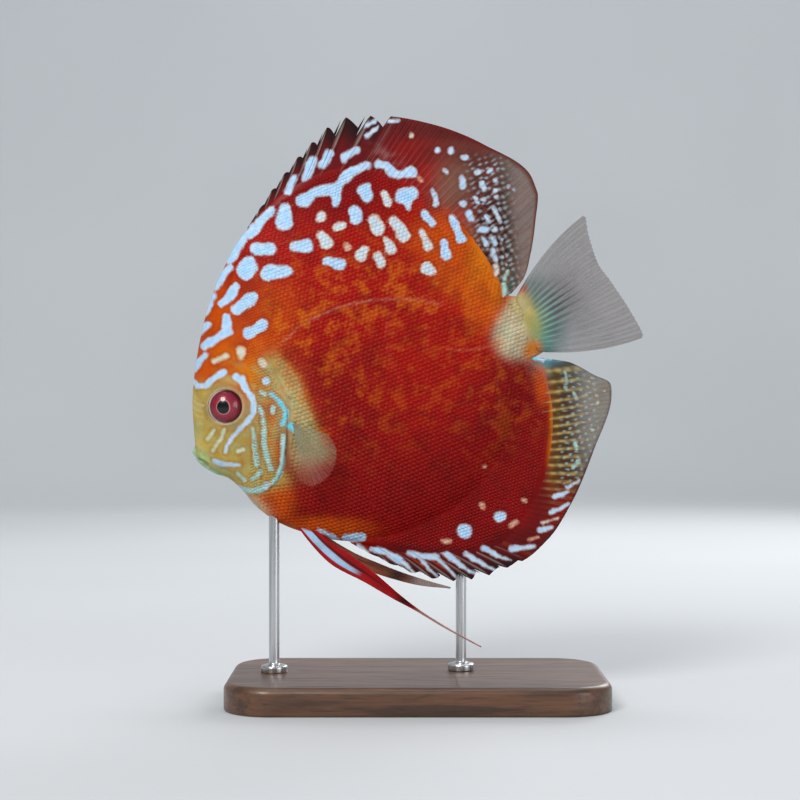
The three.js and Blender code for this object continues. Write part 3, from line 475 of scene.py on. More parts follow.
def put_paint(ob, verts, extra=None):
    base, sd, tint, mott = paint(verts)
    if extra is not None:
        base, sd, tint, mott = extra(verts, base, sd, tint, mott)
    put(ob.data, "pig", base)
    put(ob.data, "tint", tint)
    put(ob.data, "sd", sd)
    put(ob.data, "mott", mott)


def put_uv(ob, corners, name="OFBake"):
    lay = ob.data.uv_layers.new(name=name)
    lay.data.foreach_set("uv", np.asarray(corners, np.float32).ravel())


# surface coordinates: u along the axis, s the girth measured on the skin from its ridge
GU = np.arange(NOSE_U, TAIL_ROOT_U + 0.26, 0.5)
GV = np.arange(-70, 73.01, 0.25)
gu2, gv2 = np.meshgrid(GU, GV, indexing="ij")
smooth_h = (body_half(gu2.ravel(), gv2.ravel()) ** 3 + 0.0).reshape(gu2.shape) ** (1 / 3)
slope = np.gradient(smooth_h, 0.25, axis=1)
arc = np.cumsum(np.sqrt(1 + np.minimum(slope ** 2, 9)) * 0.25, axis=1)
for i, u in enumerate(GU):
    arc[i] -= np.interp(ridge(u), GV, arc[i])


def girth(u, v):
    """Length on the skin from the ridge to v at station u."""
    fi = np.clip((u - GU[0]) / 0.5, 0, len(GU) - 1.001)
    fj = np.clip((v - GV[0]) / 0.25, 0, len(GV) - 1.001)
    i, j = fi.astype(int), fj.astype(int)
    a, b = fi - i, fj - j
    return ((arc[i, j] * (1 - a) + arc[i + 1, j] * a) * (1 - b) + (arc[i, j + 1] * (1 - a) + arc[i + 1, j + 1] * a) * b)


GS = np.arange(-90, 96.01, 0.25)
v_of = np.stack([np.interp(GS, arc[i], GV) for i in range(len(GU))])


def height(u, s):
    fi = np.clip((u - GU[0]) / 0.5, 0, len(GU) - 1.001)
    fj = np.clip((s - GS[0]) / 0.25, 0, len(GS) - 1.001)
    i, j = fi.astype(int), fj.astype(int)
    a, b = fi - i, fj - j
    return ((v_of[i, j] * (1 - a) + v_of[i + 1, j] * a) * (1 - b) + (v_of[i, j + 1] * (1 - a) + v_of[i + 1, j + 1] * a) * b)


def unwrap(u, v, side):
    """The skin's own unwrap: left half of the map for the left flank, right half for the right."""
    s = girth(u, v)
    return np.stack([(u + 1.5) / 124 * 0.49 + np.where(side > 0, 0.505, 0.005), (s + 88) / 182 * 0.98 + 0.01], -1)


def build_skin():
    # spokes from the middle of the flank to the outline, closer together over the head
    c = np.array([52.0, 2.0])
    ang = np.unwrap(np.arctan2(OUTLINE[:, 1] - c[1], OUTLINE[:, 0] - c[0]))
    if ang[-1] < ang[0]:
        ang, ring = ang[::-1], OUTLINE[::-1]
    else:
        ring = OUTLINE
    keep = np.concatenate([[True], np.diff(np.maximum.accumulate(ang)) > 1e-7])
    ang, ring = ang[keep], ring[keep]
    n_phi, n_rho = 474, 104
    head_dir = math.atan2(-6.0, -44.0) % (2 * math.pi)
    fine = np.linspace(ang[0], ang[0] + 2 * math.pi, 8001)
    off = (fine - head_dir + math.pi) % (2 * math.pi) - math.pi
    cum = np.cumsum(1 + 2.0 * np.exp(-(off / 0.85) ** 2))
    cum = (cum - cum[0]) / (cum[-1] - cum[0])
    phi = np.interp(np.arange(n_phi) / n_phi, cum, fine)
    a2 = np.concatenate([ang, ang[:1] + 2 * math.pi])
    r2 = np.vstack([ring, ring[:1]])
    ex, ey = np.interp(phi, a2, r2[:, 0]), np.interp(phi, a2, r2[:, 1])
    j = np.arange(n_rho + 1) / n_rho
    rho = 1 - (1 - j) ** 1.32
    rho[0] = 0
    U = c[0] + (ex - c[0])[:, None] * rho[None, 1:]
    V = c[1] + (ey - c[1])[:, None] * rho[None, 1:]
    rim = to_line(U.ravel(), V.ravel(), OUTLINE[::2])[0].reshape(U.shape)
    rim[:, -1] = 0
    h = skin_half(U.ravel(), V.ravel(), rim.ravel()).reshape(U.shape)
    # the tail root is cut square where the caudal fin takes over
    end = U[:, -1] > TAIL_ROOT_U - 0.3
    h[:, -1] = 0
    hc = float(skin_half(np.array([c[0]]), np.array([c[1]]), np.array([50.0]))[0])
    per = n_rho - 1  # free rings per side, the rim is shared
    left = place(U[:, :-1].ravel(), V[:, :-1].ravel(), 0)
    right = left.copy()
    left[:, 1] = -h[:, :-1].ravel()
    right[:, 1] = h[:, :-1].ravel()
    rimv = place(U[:, -1], V[:, -1], 0)
    pole = place(np.array([c[0], c[0]]), np.array([c[1], c[1]]), 0)
    pole[0, 1], pole[1, 1] = -hc, hc
    verts = np.vstack([left, right, rimv, pole])
    nl = n_phi * per
    k = np.arange(n_phi)
    k1 = (k + 1) % n_phi
    quads, qside, tris, tside = [], [], [], []
    for s_i, base in ((-1, 0), (1, nl)):
        for m in range(per):
            a, b = base + k * per + m, base + k1 * per + m
            if m < per - 1:
                d, e = a + 1, b + 1
            else:
                d, e = 2 * nl + k, 2 * nl + k1
            q = np.stack([a, d, e, b], 1)
            quads.append(q if s_i < 0 else q[:, ::-1])
            qside.append(np.full(n_phi, s_i))
        a, b = base + k * per, base + k1 * per
        p = np.full(n_phi, 2 * nl + n_phi + (0 if s_i < 0 else 1))
        t = np.stack([p, a, b], 1)
        tris.append(t if s_i < 0 else t[:, ::-1])
        tside.append(np.full(n_phi, s_i))
    quads, qside = np.vstack(quads), np.concatenate(qside)
    tris, tside = np.vstack(tris), np.concatenate(tside)
    faces = np.vstack([quads[:, [0, 1, 2]], quads[:, [0, 2, 3]], tris])
    side = np.concatenate([qside, qside, tside])
    # faces point out
    ctr = verts[faces].mean(1)
    nrm = np.cross(verts[faces[:, 1]] - verts[faces[:, 0]], verts[faces[:, 2]] - verts[faces[:, 0]])
    flip = (nrm[:, 1] * side).sum() < 0
    if flip:
        faces = faces[:, ::-1]
    ob = make_mesh("skin", verts, faces)
    u, v = own(verts[:, 0], verts[:, 2])
    uv = unwrap(u[faces.ravel()], v[faces.ravel()], np.repeat(side, 3))
    put_uv(ob, uv)
    put_paint(ob, verts)
    return ob


def surface_points(u, v, side, lift):
    """Points on the skin at (u, v), raised by lift along the surface's normal."""
    e = 0.25
    h = skin_plain(u, v)
    hu = (skin_plain(u + e, v) - skin_plain(u - e, v)) / (2 * e)
    hv = (skin_plain(u, v + e) - skin_plain(u, v - e)) / (2 * e)
    hu, hv = np.clip(hu, -3, 3), np.clip(hv, -3, 3)
    n = np.stack([-hu, np.ones_like(hu), -hv], -1)
    n /= np.linalg.norm(n, axis=-1, keepdims=True)
    uu, vv, hh = u + n[..., 0] * lift, v + n[..., 2] * lift, h + n[..., 1] * lift
    p = place(uu, vv, 0.0)
    p[..., 1] = side * hh
    return p


# a table of the skin's half thickness, so that thousands of scales can be set on it quickly
TU = np.arange(-2, 121.01, 0.2)
TV = np.arange(-70, 73.01, 0.2)


def build_table():
    a, b = np.meshgrid(TU, TV, indexing="ij")
    u, v = a.ravel(), b.ravel()
    ins = inside(u, v, OUTLINE[::2])
    out = np.zeros(u.shape)
    out[ins] = skin_half(u[ins], v[ins])
    return out.reshape(a.shape), ins.reshape(a.shape)


TABLE, INSIDE = build_table()


def skin_plain(u, v):
    fi = np.clip((u - TU[0]) / 0.2, 0, len(TU) - 1.001)
    fj = np.clip((v - TV[0]) / 0.2, 0, len(TV) - 1.001)
    i, j = fi.astype(int), fj.astype(int)
    a, b = fi - i, fj - j
    return ((TABLE[i, j] * (1 - a) + TABLE[i + 1, j] * a) * (1 - b) + (TABLE[i, j + 1] * (1 - a) + TABLE[i + 1, j + 1] * a) * b)


def is_inside(u, v, margin):
    r = TABLE.shape
    def at_(a, b):
        i = np.clip(((a - TU[0]) / 0.2).round().astype(int), 0, r[0] - 1)
        j = np.clip(((b - TV[0]) / 0.2).round().astype(int), 0, r[1] - 1)
        return INSIDE[i, j]
    ok = at_(u, v)
    for k in range(8):
        ok &= at_(u + margin * math.cos(k * math.pi / 4), v + margin * math.sin(k * math.pi / 4))
    return ok


def build_scales(name, side, pitch_u, pitch_s, where, lift, seed, margin, round_pts=5):
    """Overlapping scales in staggered rows that follow the body, free edge towards the tail."""
    rng = np.random.default_rng(seed)
    rows = np.arange(-86, 92, pitch_s)
    cols = np.arange(0, TAIL_ROOT_U, pitch_u)
    rr, cc = np.meshgrid(np.arange(len(rows)), np.arange(len(cols)), indexing="ij")
    s0 = rows[rr].ravel() + rng.normal(0, 0.03 * pitch_s, rr.size)
    u0 = (cols[cc] + (rr % 2) * pitch_u / 2).ravel() + rng.normal(0, 0.03 * pitch_u, rr.size)
    v0 = height(u0, s0)
    ok = (np.abs(girth(u0, v0) - s0) < 0.3) & is_inside(u0, v0, margin) & where(u0, v0)
    u0, s0, v0 = u0[ok], s0[ok], v0[ok]
    n = len(u0)
    # outline of one scale: narrow buried root, rounded free rear edge
    L, W = pitch_u * 1.34, pitch_s * 1.12
    th = np.linspace(-1.25, 1.25, round_pts)
    a = np.concatenate([[-0.62 * L, -0.62 * L], 0.05 * L + 0.42 * L * np.cos(th)])
    b = np.concatenate([[0.30 * W, -0.30 * W], 0.52 * W * np.sin(th) / math.sin(1.25)])
    up = np.concatenate([[-0.012, -0.012], np.full(round_pts, lift) - 0.02 * np.abs(np.sin(th))])
    m = len(a)
    size = rng.uniform(0.95, 1.06, n)[:, None]
    uu = u0[:, None] + a[None] * size
    ss = s0[:, None] + b[None] * size
    vv = height(uu.ravel(), ss.ravel()).reshape(uu.shape)
    tilt = rng.normal(0, 0.009, n)[:, None] * (b / W)[None]
    lifts = up[None] + tilt
    outer = surface_points(uu, vv, side, lifts)
    inner = surface_points(uu, vv, side, lifts - 0.055)
    mid_u, mid_v = u0 + 0.02 * L, v0
    mid = surface_points(mid_u, mid_v, side, np.full(n, lift * 0.72 + 0.01))
    midi = surface_points(mid_u, mid_v, side, np.full(n, -0.1))
    verts = np.concatenate([outer, inner, mid[:, None], midi[:, None]], axis=1)  # n, 2m+2, 3
    tri = []
    for k in range(m):
        k1 = (k + 1) % m
        tri += [(2 * m, k, k1), (2 * m + 1, m + k1, m + k), (k, m + k, m + k1), (k, m + k1, k1)]
    tri = np.array(tri)
    if side > 0:
        tri = tri[:, ::-1]
    per = 2 * m + 2
    faces = (tri[None] + (np.arange(n) * per)[:, None, None]).reshape(-1, 3)
    flat = verts.reshape(-1, 3)
    f0 = faces[:len(tri)]
    # check the outward sense on the first scale's top
    t0 = flat[f0[0]]
    if np.cross(t0[1] - t0[0], t0[2] - t0[0])[1] * side < 0:
        faces = faces[:, ::-1]
    ob = make_mesh(name, flat, faces)
    # only the domed top of a scale is shaded smooth: its rim stays sharp
    tops = np.zeros(len(faces), bool)
    tops[0::4] = True
    ob.data.polygons.foreach_set("use_smooth", tops)
    root = unwrap(u0 - 0.5 * L, v0, np.full(n, side))
    loc = np.concatenate([np.stack([a, b], 1), np.stack([a, b], 1), [[0, 0]], [[0, 0]]])
    loc = loc / max(L, W) * 0.003
    uvv = (root[:, None, :] + loc[None]).reshape(-1, 2)
    put_uv(ob, uvv[faces.ravel()])
    put_paint(ob, flat)
    along = np.concatenate([(a + 0.62 * L) / (1.09 * L), (a + 0.62 * L) / (1.09 * L), [0.55, 0.55]])
    put(ob.data, "along", np.tile(along, n))
    put(ob.data, "shade", np.repeat(rng.normal(0, 1, n), per))
    return ob, n


# ------------------------------------------------------------------ fins
def ray_mesh(name, middle, half, S, T, side_paint=None, sides=(-1, 1), flat_y=True):
    """A thin closed fin over a grid of ray positions S and places along the ray T."""
    ns, nt = len(S), len(T)
    s2, t2 = np.meshgrid(S, T, indexing="ij")
    s, t = s2.ravel(), t2.ravel()
    e = 1e-3
    p = middle(s, t)
    ds, dt = middle(s + e, t) - middle(s - e, t), middle(s, np.minimum(t + e, 1)) - middle(s, np.maximum(t - e, 0))
    n = np.cross(ds, dt)
    n /= np.maximum(np.linalg.norm(n, axis=1, keepdims=True), 1e-9)
    n = np.where(n[:, 1:2] > 0, -n, n)
    hh = half(s, t)[:, None]
    left, right = p + n * hh, p - n * hh
    verts = np.vstack([left, right])
    off = len(left)
    i, j = np.meshgrid(np.arange(ns - 1), np.arange(nt - 1), indexing="ij")
    a = (i * nt + j).ravel()
    fl = np.stack([a, a + nt, a + nt + 1, a + 1], 1)
    fr = off + fl[:, ::-1]
    rim = list(range(0, (ns - 1) * nt, nt)) + list(range((ns - 1) * nt, ns * nt - 1)) + \
        list(range(ns * nt - 1, nt - 1, -nt)) + list(range(nt - 1, 0, -1))
    rim = np.array(rim)
    nx = np.roll(rim, -1)
    fe = np.stack([nx, rim, off + rim, off + nx], 1)
    faces = np.vstack([fl, fr, fe])
    q = verts[faces[:len(fl)]]
    if np.cross(q[:, 1] - q[:, 0], q[:, 2] - q[:, 0])[:, 1].sum() > 0:
        faces = faces[:, ::-1]
    ob = make_mesh(name, verts, faces)
    st = np.vstack([np.stack([s, t], 1), np.stack([s, t], 1)])
    put(ob.data, "ray", np.column_stack([st, np.zeros(len(st))]))
    # map: left face above, right face below, both by ray and length along it
    uvv = np.column_stack([0.01 + 0.98 * st[:, 0], 0.005 + 0.485 * st[:, 1]])
    uvv[off:, 1] += 0.505
    put_uv(ob, uvv[faces.ravel()])
    put_paint(ob, verts, (lambda *a: side_paint(st, *a)) if side_paint else None)
    return ob, verts, st


def slit(s, start, end, count, depth, width, last=1.0):
    """Narrow gaps just behind the free spine tips."""
    pitch = (end - start) / count
    f = (s - start) / pitch
    k = f - np.floor(f)
    depth = depth * lerp(1.7, 1.0, smooth(start, start + 0.24, s)) * lerp(1.0, last, smooth(end - 0.16, end - 0.02, s))
    c = depth * np.clip(1 - np.abs(k - width / 2) / (width / 2), 0, 1) ** 0.7
    # behind each tip the membrane falls away until the next spine
    c = np.maximum(c, 0.55 * depth * np.clip((k - width) / (1 - width), 0, 1) ** 1.3)
    return np.where((s > start) & (s < end), c, 0)


def fan(base_u, base_v, edge_u, edge_v, bow, cut):
    def middle(s, t):
        q = np.clip(s, 0, 1)
        bu = base_u(q)
        bv = base_v(bu)
        c = cut(q)
        eu, ev = lerp(edge_u(q), bu, c), lerp(edge_v(q), bv, c)
        k = 4 * t * (1 - t) * bow(q)
        u = lerp(bu, eu, t) + k * (ev - bv) * 0.5
        v = lerp(bv, ev, t) - k * (eu - bu) * 0.5
        y = wave(q, t)
        return place(u, v, y)

    def wave(q, t):
        return 0.35 * t * t * np.sin(q * 17.0) * smooth(0.5, 0.8, q)
    return middle


dorsal_cut = lambda q: slit(q, 0.05, 0.55, 8, 0.36, 0.16, 0.7)
dorsal_mid = fan(
    profile([[0, 43], [0.14, 47.5], [0.23, 52], [0.32, 57.5], [0.42, 64], [0.53, 73.5], [0.66, 86],
             [0.77, 97.5], [0.885, 107.5], [0.96, 113.2], [1, 114.6]]),
    lambda u: back(u) - 1.0,
    profile([[0, 44.2], [0.14, 57.8], [0.32, 75.2], [0.42, 86], [0.53, 99.5], [0.66, 114.3],
             [0.77, 126.8], [0.885, 137.5], [0.91, 137.4], [0.935, 133.2], [0.96, 127.8], [0.985, 122.3], [1, 117]]),
    profile([[0, 61.9], [0.14, 71.3], [0.32, 80.4], [0.42, 83.8], [0.53, 79.4], [0.66, 70.2],
             [0.77, 58.3], [0.885, 41.6], [0.91, 37.2], [0.935, 28.4], [0.96, 19.2], [0.985, 12.2], [1, 9.4]]),
    lambda s: 0.1 * (1 - s), dorsal_cut)
anal_cut = lambda q: slit(q, 0.03, 0.5, 8, 0.24, 0.16, 0.25)
anal_mid = fan(
    profile([[0, 36], [0.08, 38], [0.18, 41.5], [0.28, 46.5], [0.4, 53.5], [0.5, 61], [0.6, 70], [0.72, 80],
             [0.82, 93], [0.92, 104.5], [0.98, 112], [1, 115]]),
    lambda u: belly(u) + 1.0,
    profile([[0, 37], [0.08, 44.5], [0.18, 53.6], [0.28, 64], [0.4, 76], [0.5, 87], [0.6, 97.5],
             [0.72, 110], [0.82, 122.8], [0.92, 134.9], [0.945, 136], [0.965, 132], [0.985, 126], [1, 119.6]]),
    profile([[0, -47.4], [0.08, -56.5], [0.18, -65.4], [0.28, -71.8], [0.4, -74.3], [0.5, -74],
             [0.6, -70.6], [0.72, -61.8], [0.82, -48.9], [0.92, -34.4], [0.945, -30.5], [0.965, -25.8], [0.985, -18.9],
             [1, -15.4]]),
    lambda s: -0.1 * (1 - s), anal_cut)


def ray_relief(q, t, start_soft, spines, soft, s_from, s_to):
    """Raised spines, then soft rays that split in two towards the edge."""
    spiny = q < start_soft
    pitch = (s_to - s_from) / spines
    f = (q - s_from) / pitch
    k = f - np.floor(f)
    spine = np.exp(-((k - 0.23) / 0.07) ** 2) * (1.25 - 0.75 * t)
    g = (q - start_soft) / (1 - start_soft) * soft
    def ridge_of(x, w):
        c = np.abs(x - np.floor(x) - 0.5)
        return np.exp(-(c / w) ** 2)
    one = ridge_of(g, 0.15)
    two = np.exp(-((np.abs(g - np.floor(g) - 0.5) - 0.2 * smooth(0.42, 0.95, t)) / 0.10) ** 2)
    soft_r = lerp(one, two, smooth(0.40, 0.55, t)) * (1 - 0.5 * t)
    joint = 1 - 0.12 * (np.sin(t * 150) > 0.8) * smooth(0.15, 0.3, t)
    return np.where(spiny, spine, soft_r * joint)


# ------------------------------------------------------------------ materials
def nodes_of(name):
    mat = bpy.data.materials.new(name)
    mat.use_nodes = True
    nt = mat.node_tree
    bsdf = next(n for n in nt.nodes if n.type == "BSDF_PRINCIPLED")
    return mat, nt, bsdf


class Net:
    def __init__(self, nt):
        self.nt, self.n, self.l = nt, nt.nodes, nt.links

    def add(self, kind, **props):
        node = self.n.new(kind)
        for k, v in props.items():
            setattr(node, k, v)
        return node

    def link(self, a, b):
        self.l.new(a, b)

    def attr(self, name, out="Vector"):
        a = self.add("ShaderNodeAttribute", attribute_name=name)
        return a.outputs[out]

    def math(self, op, a, b=None, c=None, clamp=False):
        m = self.add("ShaderNodeMath", operation=op, use_clamp=clamp)
        for i, x in enumerate((a, b, c)):
            if x is None:
                continue
            if isinstance(x, (int, float)):
                m.inputs[i].default_value = x
            else:
                self.link(x, m.inputs[i])
        return m.outputs[0]

    def ramp(self, x, lo, hi, a=0.0, b=1.0):
        m = self.add("ShaderNodeMapRange", interpolation_type="SMOOTHSTEP")
        self.link(x, m.inputs["Value"])
        for k, val in (("From Min", lo), ("From Max", hi), ("To Min", a), ("To Max", b)):
            m.inputs[k].default_value = val
        return m.outputs["Result"]

    def noise(self, scale, detail=3.0, rough=0.55, vec=None, out="Fac"):
        t = self.add("ShaderNodeTexNoise")
        t.inputs["Scale"].default_value = scale
        t.inputs["Detail"].default_value = detail
        t.inputs["Roughness"].default_value = rough
        self.link(vec if vec is not None else self.coord(), t.inputs["Vector"])
        return t.outputs[out]

    def coord(self):
        if not hasattr(self, "_c"):
            self._c = self.add("ShaderNodeTexCoord").outputs["Object"]
        return self._c

    def mix(self, fac, a, b, blend="MIX"):
        m = self.add("ShaderNodeMix", data_type="RGBA", blend_type=blend)
        ins = [i for i in m.inputs if i.type == "RGBA"]
        for sock, x in ((m.inputs[0], fac), (ins[0], a), (ins[1], b)):
            if isinstance(x, (int, float)):
                sock.default_value = x
            elif isinstance(x, (tuple, list, np.ndarray)):
                sock.default_value = (*[float(k) for k in x][:3], 1)
            else:
                self.link(x, sock)
        return next(o for o in m.outputs if o.type == "RGBA")


def pigment(net, mott_col=None):
    """The fish's colour: pools of pigment, mottling, then pale marks with soft uneven edges."""
    base = net.attr("pig")
    blotch = net.ramp(net.noise(210, 4, 0.62), 0.48, 0.64)
    fleck = net.ramp(net.noise(620, 3, 0.6), 0.52, 0.70)
    m = net.math("MULTIPLY", net.attr("mott", "Fac"), net.math("ADD", net.math("MULTIPLY", blotch, 0.62), net.math("MULTIPLY", fleck, 0.22)), clamp=True)
    col = net.mix(m, base, tuple(srgb(204, 100, 10)))
    dark = net.ramp(net.noise(150, 3, 0.6), 0.42, 0.66, 1.0, 0.80)
    col = net.mix(1.0, col, dark_color(net, dark), "MULTIPLY")
    fine = net.ramp(net.noise(2600, 2, 0.6), 0.3, 0.7, 0.90, 1.08)
    col = net.mix(1.0, col, dark_color(net, fine), "MULTIPLY")
    sd = net.attr("sd", "Fac")
    rag = net.math("MULTIPLY", net.math("SUBTRACT", net.noise(700, 4, 0.6), 0.5), 3.4)
    sd = net.math("ADD", sd, rag)
    ring = net.math("MULTIPLY", net.ramp(sd, 4.5, 1.0), 0.22)
    col = net.mix(ring, col, tuple(srgb(96, 6, 8)), "MIX")
    mask = net.ramp(sd, 1.7, -1.5)
    tint = net.mix(net.ramp(net.noise(600, 2), 0.35, 0.7, 0.0, 0.22), net.attr("tint"), (0.86, 0.93, 1.0))
    return net.mix(mask, col, tint), mask


def dark_color(net, value):
    c = net.add("ShaderNodeCombineColor")
    for i in range(3):
        net.link(value, c.inputs[i])
    return c.outputs[0]


def skin_material():
    mat, nt, b = nodes_of("discus_skin")
    net = Net(nt)
    col, mask = pigment(net)
    net.link(col, b.inputs["Base Color"])
    b.inputs["Roughness"].default_value = 0.45
    b.inputs["Specular IOR Level"].default_value = 0.10
    b.inputs["Subsurface Weight"].default_value = 0.02
    b.inputs["Subsurface Radius"].default_value = (1.0, 0.35, 0.2)
    b.inputs["Subsurface Scale"].default_value = 0.0012
    b.inputs["Coat Weight"].default_value = 0.04
    b.inputs["Coat Roughness"].default_value = 0.2
    bumpn = net.add("ShaderNodeBump")
    bumpn.inputs["Strength"].default_value = 0.10
    bumpn.inputs["Distance"].default_value = 0.0003
    net.link(net.noise(1800, 4, 0.6), bumpn.inputs["Height"])
    net.link(bumpn.outputs[0], b.inputs["Normal"])
    return mat


def scale_material():
    mat, nt, b = nodes_of("discus_scales")
    net = Net(nt)
    col, mask = pigment(net)
    along = net.attr("along", "Fac")
    # painted highlight and painted shade: each scale's free rear edge is made a little lighter and its buried root a
    # little darker
    edge = net.ramp(along, 0.62, 1.0, 1.0, 1.025)
    root = net.ramp(along, 0.25, 0.6, 0.97, 1.0)
    col = net.mix(1.0, col, dark_color(net, net.math("MULTIPLY", edge, root)), "MULTIPLY")
    each = net.ramp(net.attr("shade", "Fac"), -2.2, 2.2, 0.965, 1.035)
    col = net.mix(1.0, col, dark_color(net, each), "MULTIPLY")
    net.link(col, b.inputs["Base Color"])
    b.inputs["Roughness"].default_value = 0.45
    b.inputs["Specular IOR Level"].default_value = 0.10
    b.inputs["Coat Weight"].default_value = 0.04
    b.inputs["Coat Roughness"].default_value = 0.2
    bumpn = net.add("ShaderNodeBump")
    bumpn.inputs["Strength"].default_value = 0.07
    bumpn.inputs["Distance"].default_value = 0.0002
    net.link(net.noise(3200, 3, 0.6), bumpn.inputs["Height"])
    net.link(bumpn.outputs[0], b.inputs["Normal"])
    return mat


def fin_material(name, clear):
    """Fin membrane: pigment, rays picked out lighter or darker, see-through where the attribute says so."""
    mat, nt, b = nodes_of(name)
    net = Net(nt)
    col, mask = pigment(net)
    rib = net.attr("rib", "Fac")
    col = net.mix(net.ramp(rib, 0.25, 0.95, 0.0, 0.42), col, net.attr("ribcol"))
    net.link(col, b.inputs["Base Color"])
    b.inputs["Roughness"].default_value = 0.42
    b.inputs["Specular IOR Level"].default_value = 0.15
    b.inputs["Coat Weight"].default_value = 0.04
    b.inputs["Coat Roughness"].default_value = 0.2
    if clear:
        solidness = net.math("MAXIMUM", net.attr("solid", "Fac"), net.math("MULTIPLY", mask, 0.95))
        net.link(solidness, b.inputs["Alpha"])
    bumpn = net.add("ShaderNodeBump")
    bumpn.inputs["Strength"].default_value = 0.2
    bumpn.inputs["Distance"].default_value = 0.0002
    net.link(net.noise(2200, 3, 0.6), bumpn.inputs["Height"])
    net.link(bumpn.outputs[0], b.inputs["Normal"])
    return mat


def eye_material():
    mat, nt, b = nodes_of("discus_eye")
    net = Net(nt)
    r = net.attr("er", "Fac")
    streak = net.noise(1.0, 2, 0.5, vec=net.attr("eyevec"))
    cr = net.add("ShaderNodeValToRGB")
    e = cr.color_ramp
    stops = [(0.0, (0.002, 0.002, 0.003)), (0.355, (0.002, 0.002, 0.003)), (0.372, srgb(120, 70, 78)), (0.40, srgb(178, 140, 140)),
             (0.435, srgb(148, 38, 52)), (0.6, srgb(126, 26, 48)), (0.80, srgb(106, 22, 46)), (0.875, srgb(66, 12, 28)),
             (0.90, srgb(176, 150, 140)), (0.96, srgb(188, 172, 150)), (1.0, srgb(120, 104, 70))]
    while len(e.elements) < len(stops):
        e.elements.new(0.5)
    for el, (pos, c) in zip(e.elements, stops):
        el.position = pos
        el.color = (*[float(k) for k in c], 1)
    net.link(net.math("MULTIPLY", r, 1 / 5.9), cr.inputs[0])
    col = net.mix(net.ramp(streak, 0.35, 0.75, 0.0, 0.35), cr.outputs[0], tuple(srgb(150, 44, 44)), "MIX")
    # the pupil stays black
    keep = net.ramp(r, 2.05, 2.3)
    col = net.mix(keep, cr.outputs[0], col)
    net.link(col, b.inputs["Base Color"])
    b.inputs["Roughness"].default_value = 0.22
    b.inputs["Specular IOR Level"].default_value = 0.3
    b.inputs["Coat Weight"].default_value = 0.34
    b.inputs["Coat Roughness"].default_value = 0.05
    return mat


def wood_material():
    mat, nt, b = nodes_of("stand_walnut")
    net = Net(nt)
    mp = net.add("ShaderNodeMapping")
    mp.inputs["Scale"].default_value = (6, 70, 70)
    net.link(net.coord(), mp.inputs["Vector"])
    warp = net.noise(3.0, 3, 0.5, vec=mp.outputs[0], out="Color")
    wv = net.add("ShaderNodeVectorMath", operation="MULTIPLY_ADD")
    net.link(warp, wv.inputs[0])
    wv.inputs[1].default_value = (0.9, 0.9, 0.9)
    net.link(mp.outputs[0], wv.inputs[2])
    grain = net.noise(2.4, 6, 0.65, vec=wv.outputs[0])
    col = net.mix(net.ramp(grain, 0.32, 0.68), tuple(srgb(58, 36, 24)), tuple(srgb(104, 68, 44)))
    mp2 = net.add("ShaderNodeMapping")
    mp2.inputs["Scale"].default_value = (60, 1500, 1500)
    net.link(net.coord(), mp2.inputs["Vector"])
    pore = net.noise(1.0, 3, 0.6, vec=mp2.outputs[0])
    col = net.mix(net.ramp(pore, 0.56, 0.70, 0.0, 0.6), col, tuple(srgb(34, 20, 13)))
    net.link(col, b.inputs["Base Color"])
    net.link(net.ramp(pore, 0.4, 0.7, 0.36, 0.52), b.inputs["Roughness"])
    b.inputs["Coat Weight"].default_value = 0.25
    b.inputs["Coat Roughness"].default_value = 0.22
    bumpn = net.add("ShaderNodeBump")
    bumpn.inputs["Strength"].default_value = 0.18
    bumpn.inputs["Distance"].default_value = 0.0002
    net.link(net.math("MULTIPLY", pore, -1.0), bumpn.inputs["Height"])
    net.link(bumpn.outputs[0], b.inputs["Normal"])
    return mat


def steel_material():
    mat, nt, b = nodes_of("stand_steel")
    net = Net(nt)
    b.inputs["Metallic"].default_value = 1.0
    mp = net.add("ShaderNodeMapping")
    mp.inputs["Scale"].default_value = (900, 900, 30)
    net.link(net.coord(), mp.inputs["Vector"])
    g = net.noise(1.0, 3, 0.6, vec=mp.outputs[0])
    col = net.mix(net.ramp(g, 0.3, 0.7), (0.50, 0.51, 0.52), (0.66, 0.67, 0.68))
    net.link(col, b.inputs["Base Color"])
    net.link(net.ramp(g, 0.3, 0.7, 0.24, 0.36), b.inputs["Roughness"])
    return mat


# ------------------------------------------------------------------ camera, light, floor
scene = bpy.context.scene
scene.view_settings.view_transform = "Standard"
cam_data = bpy.data.cameras.new("camera")
cam_data.sensor_width = 36
cam_data.lens = 36 * CAM_D / (800 * PX)
cam_data.clip_start, cam_data.clip_end = 0.01, 20
cam = bpy.data.objects.new("camera", cam_data)
cam.location = (CAM_X * MM, -CAM_D * MM, CAM_Z * MM)
cam.rotation_euler = (math.pi / 2, 0, 0)
scene.collection.objects.link(cam)
scene.camera = cam


def area(name, loc, aim, size, power, colour=(1, 1, 1)):
    d = bpy.data.lights.new(name, "AREA")
    d.shape, d.size, d.energy, d.color = "DISK", size, power, colour
    o = bpy.data.objects.new(name, d)
    o.location = loc
    v = np.array(aim, float) - np.array(loc, float)
    v /= np.linalg.norm(v)
    o.rotation_mode = "QUATERNION"
    o.rotation_quaternion = Vector(v).to_track_quat("-Z", "Y")
    scene.collection.objects.link(o)
    return o


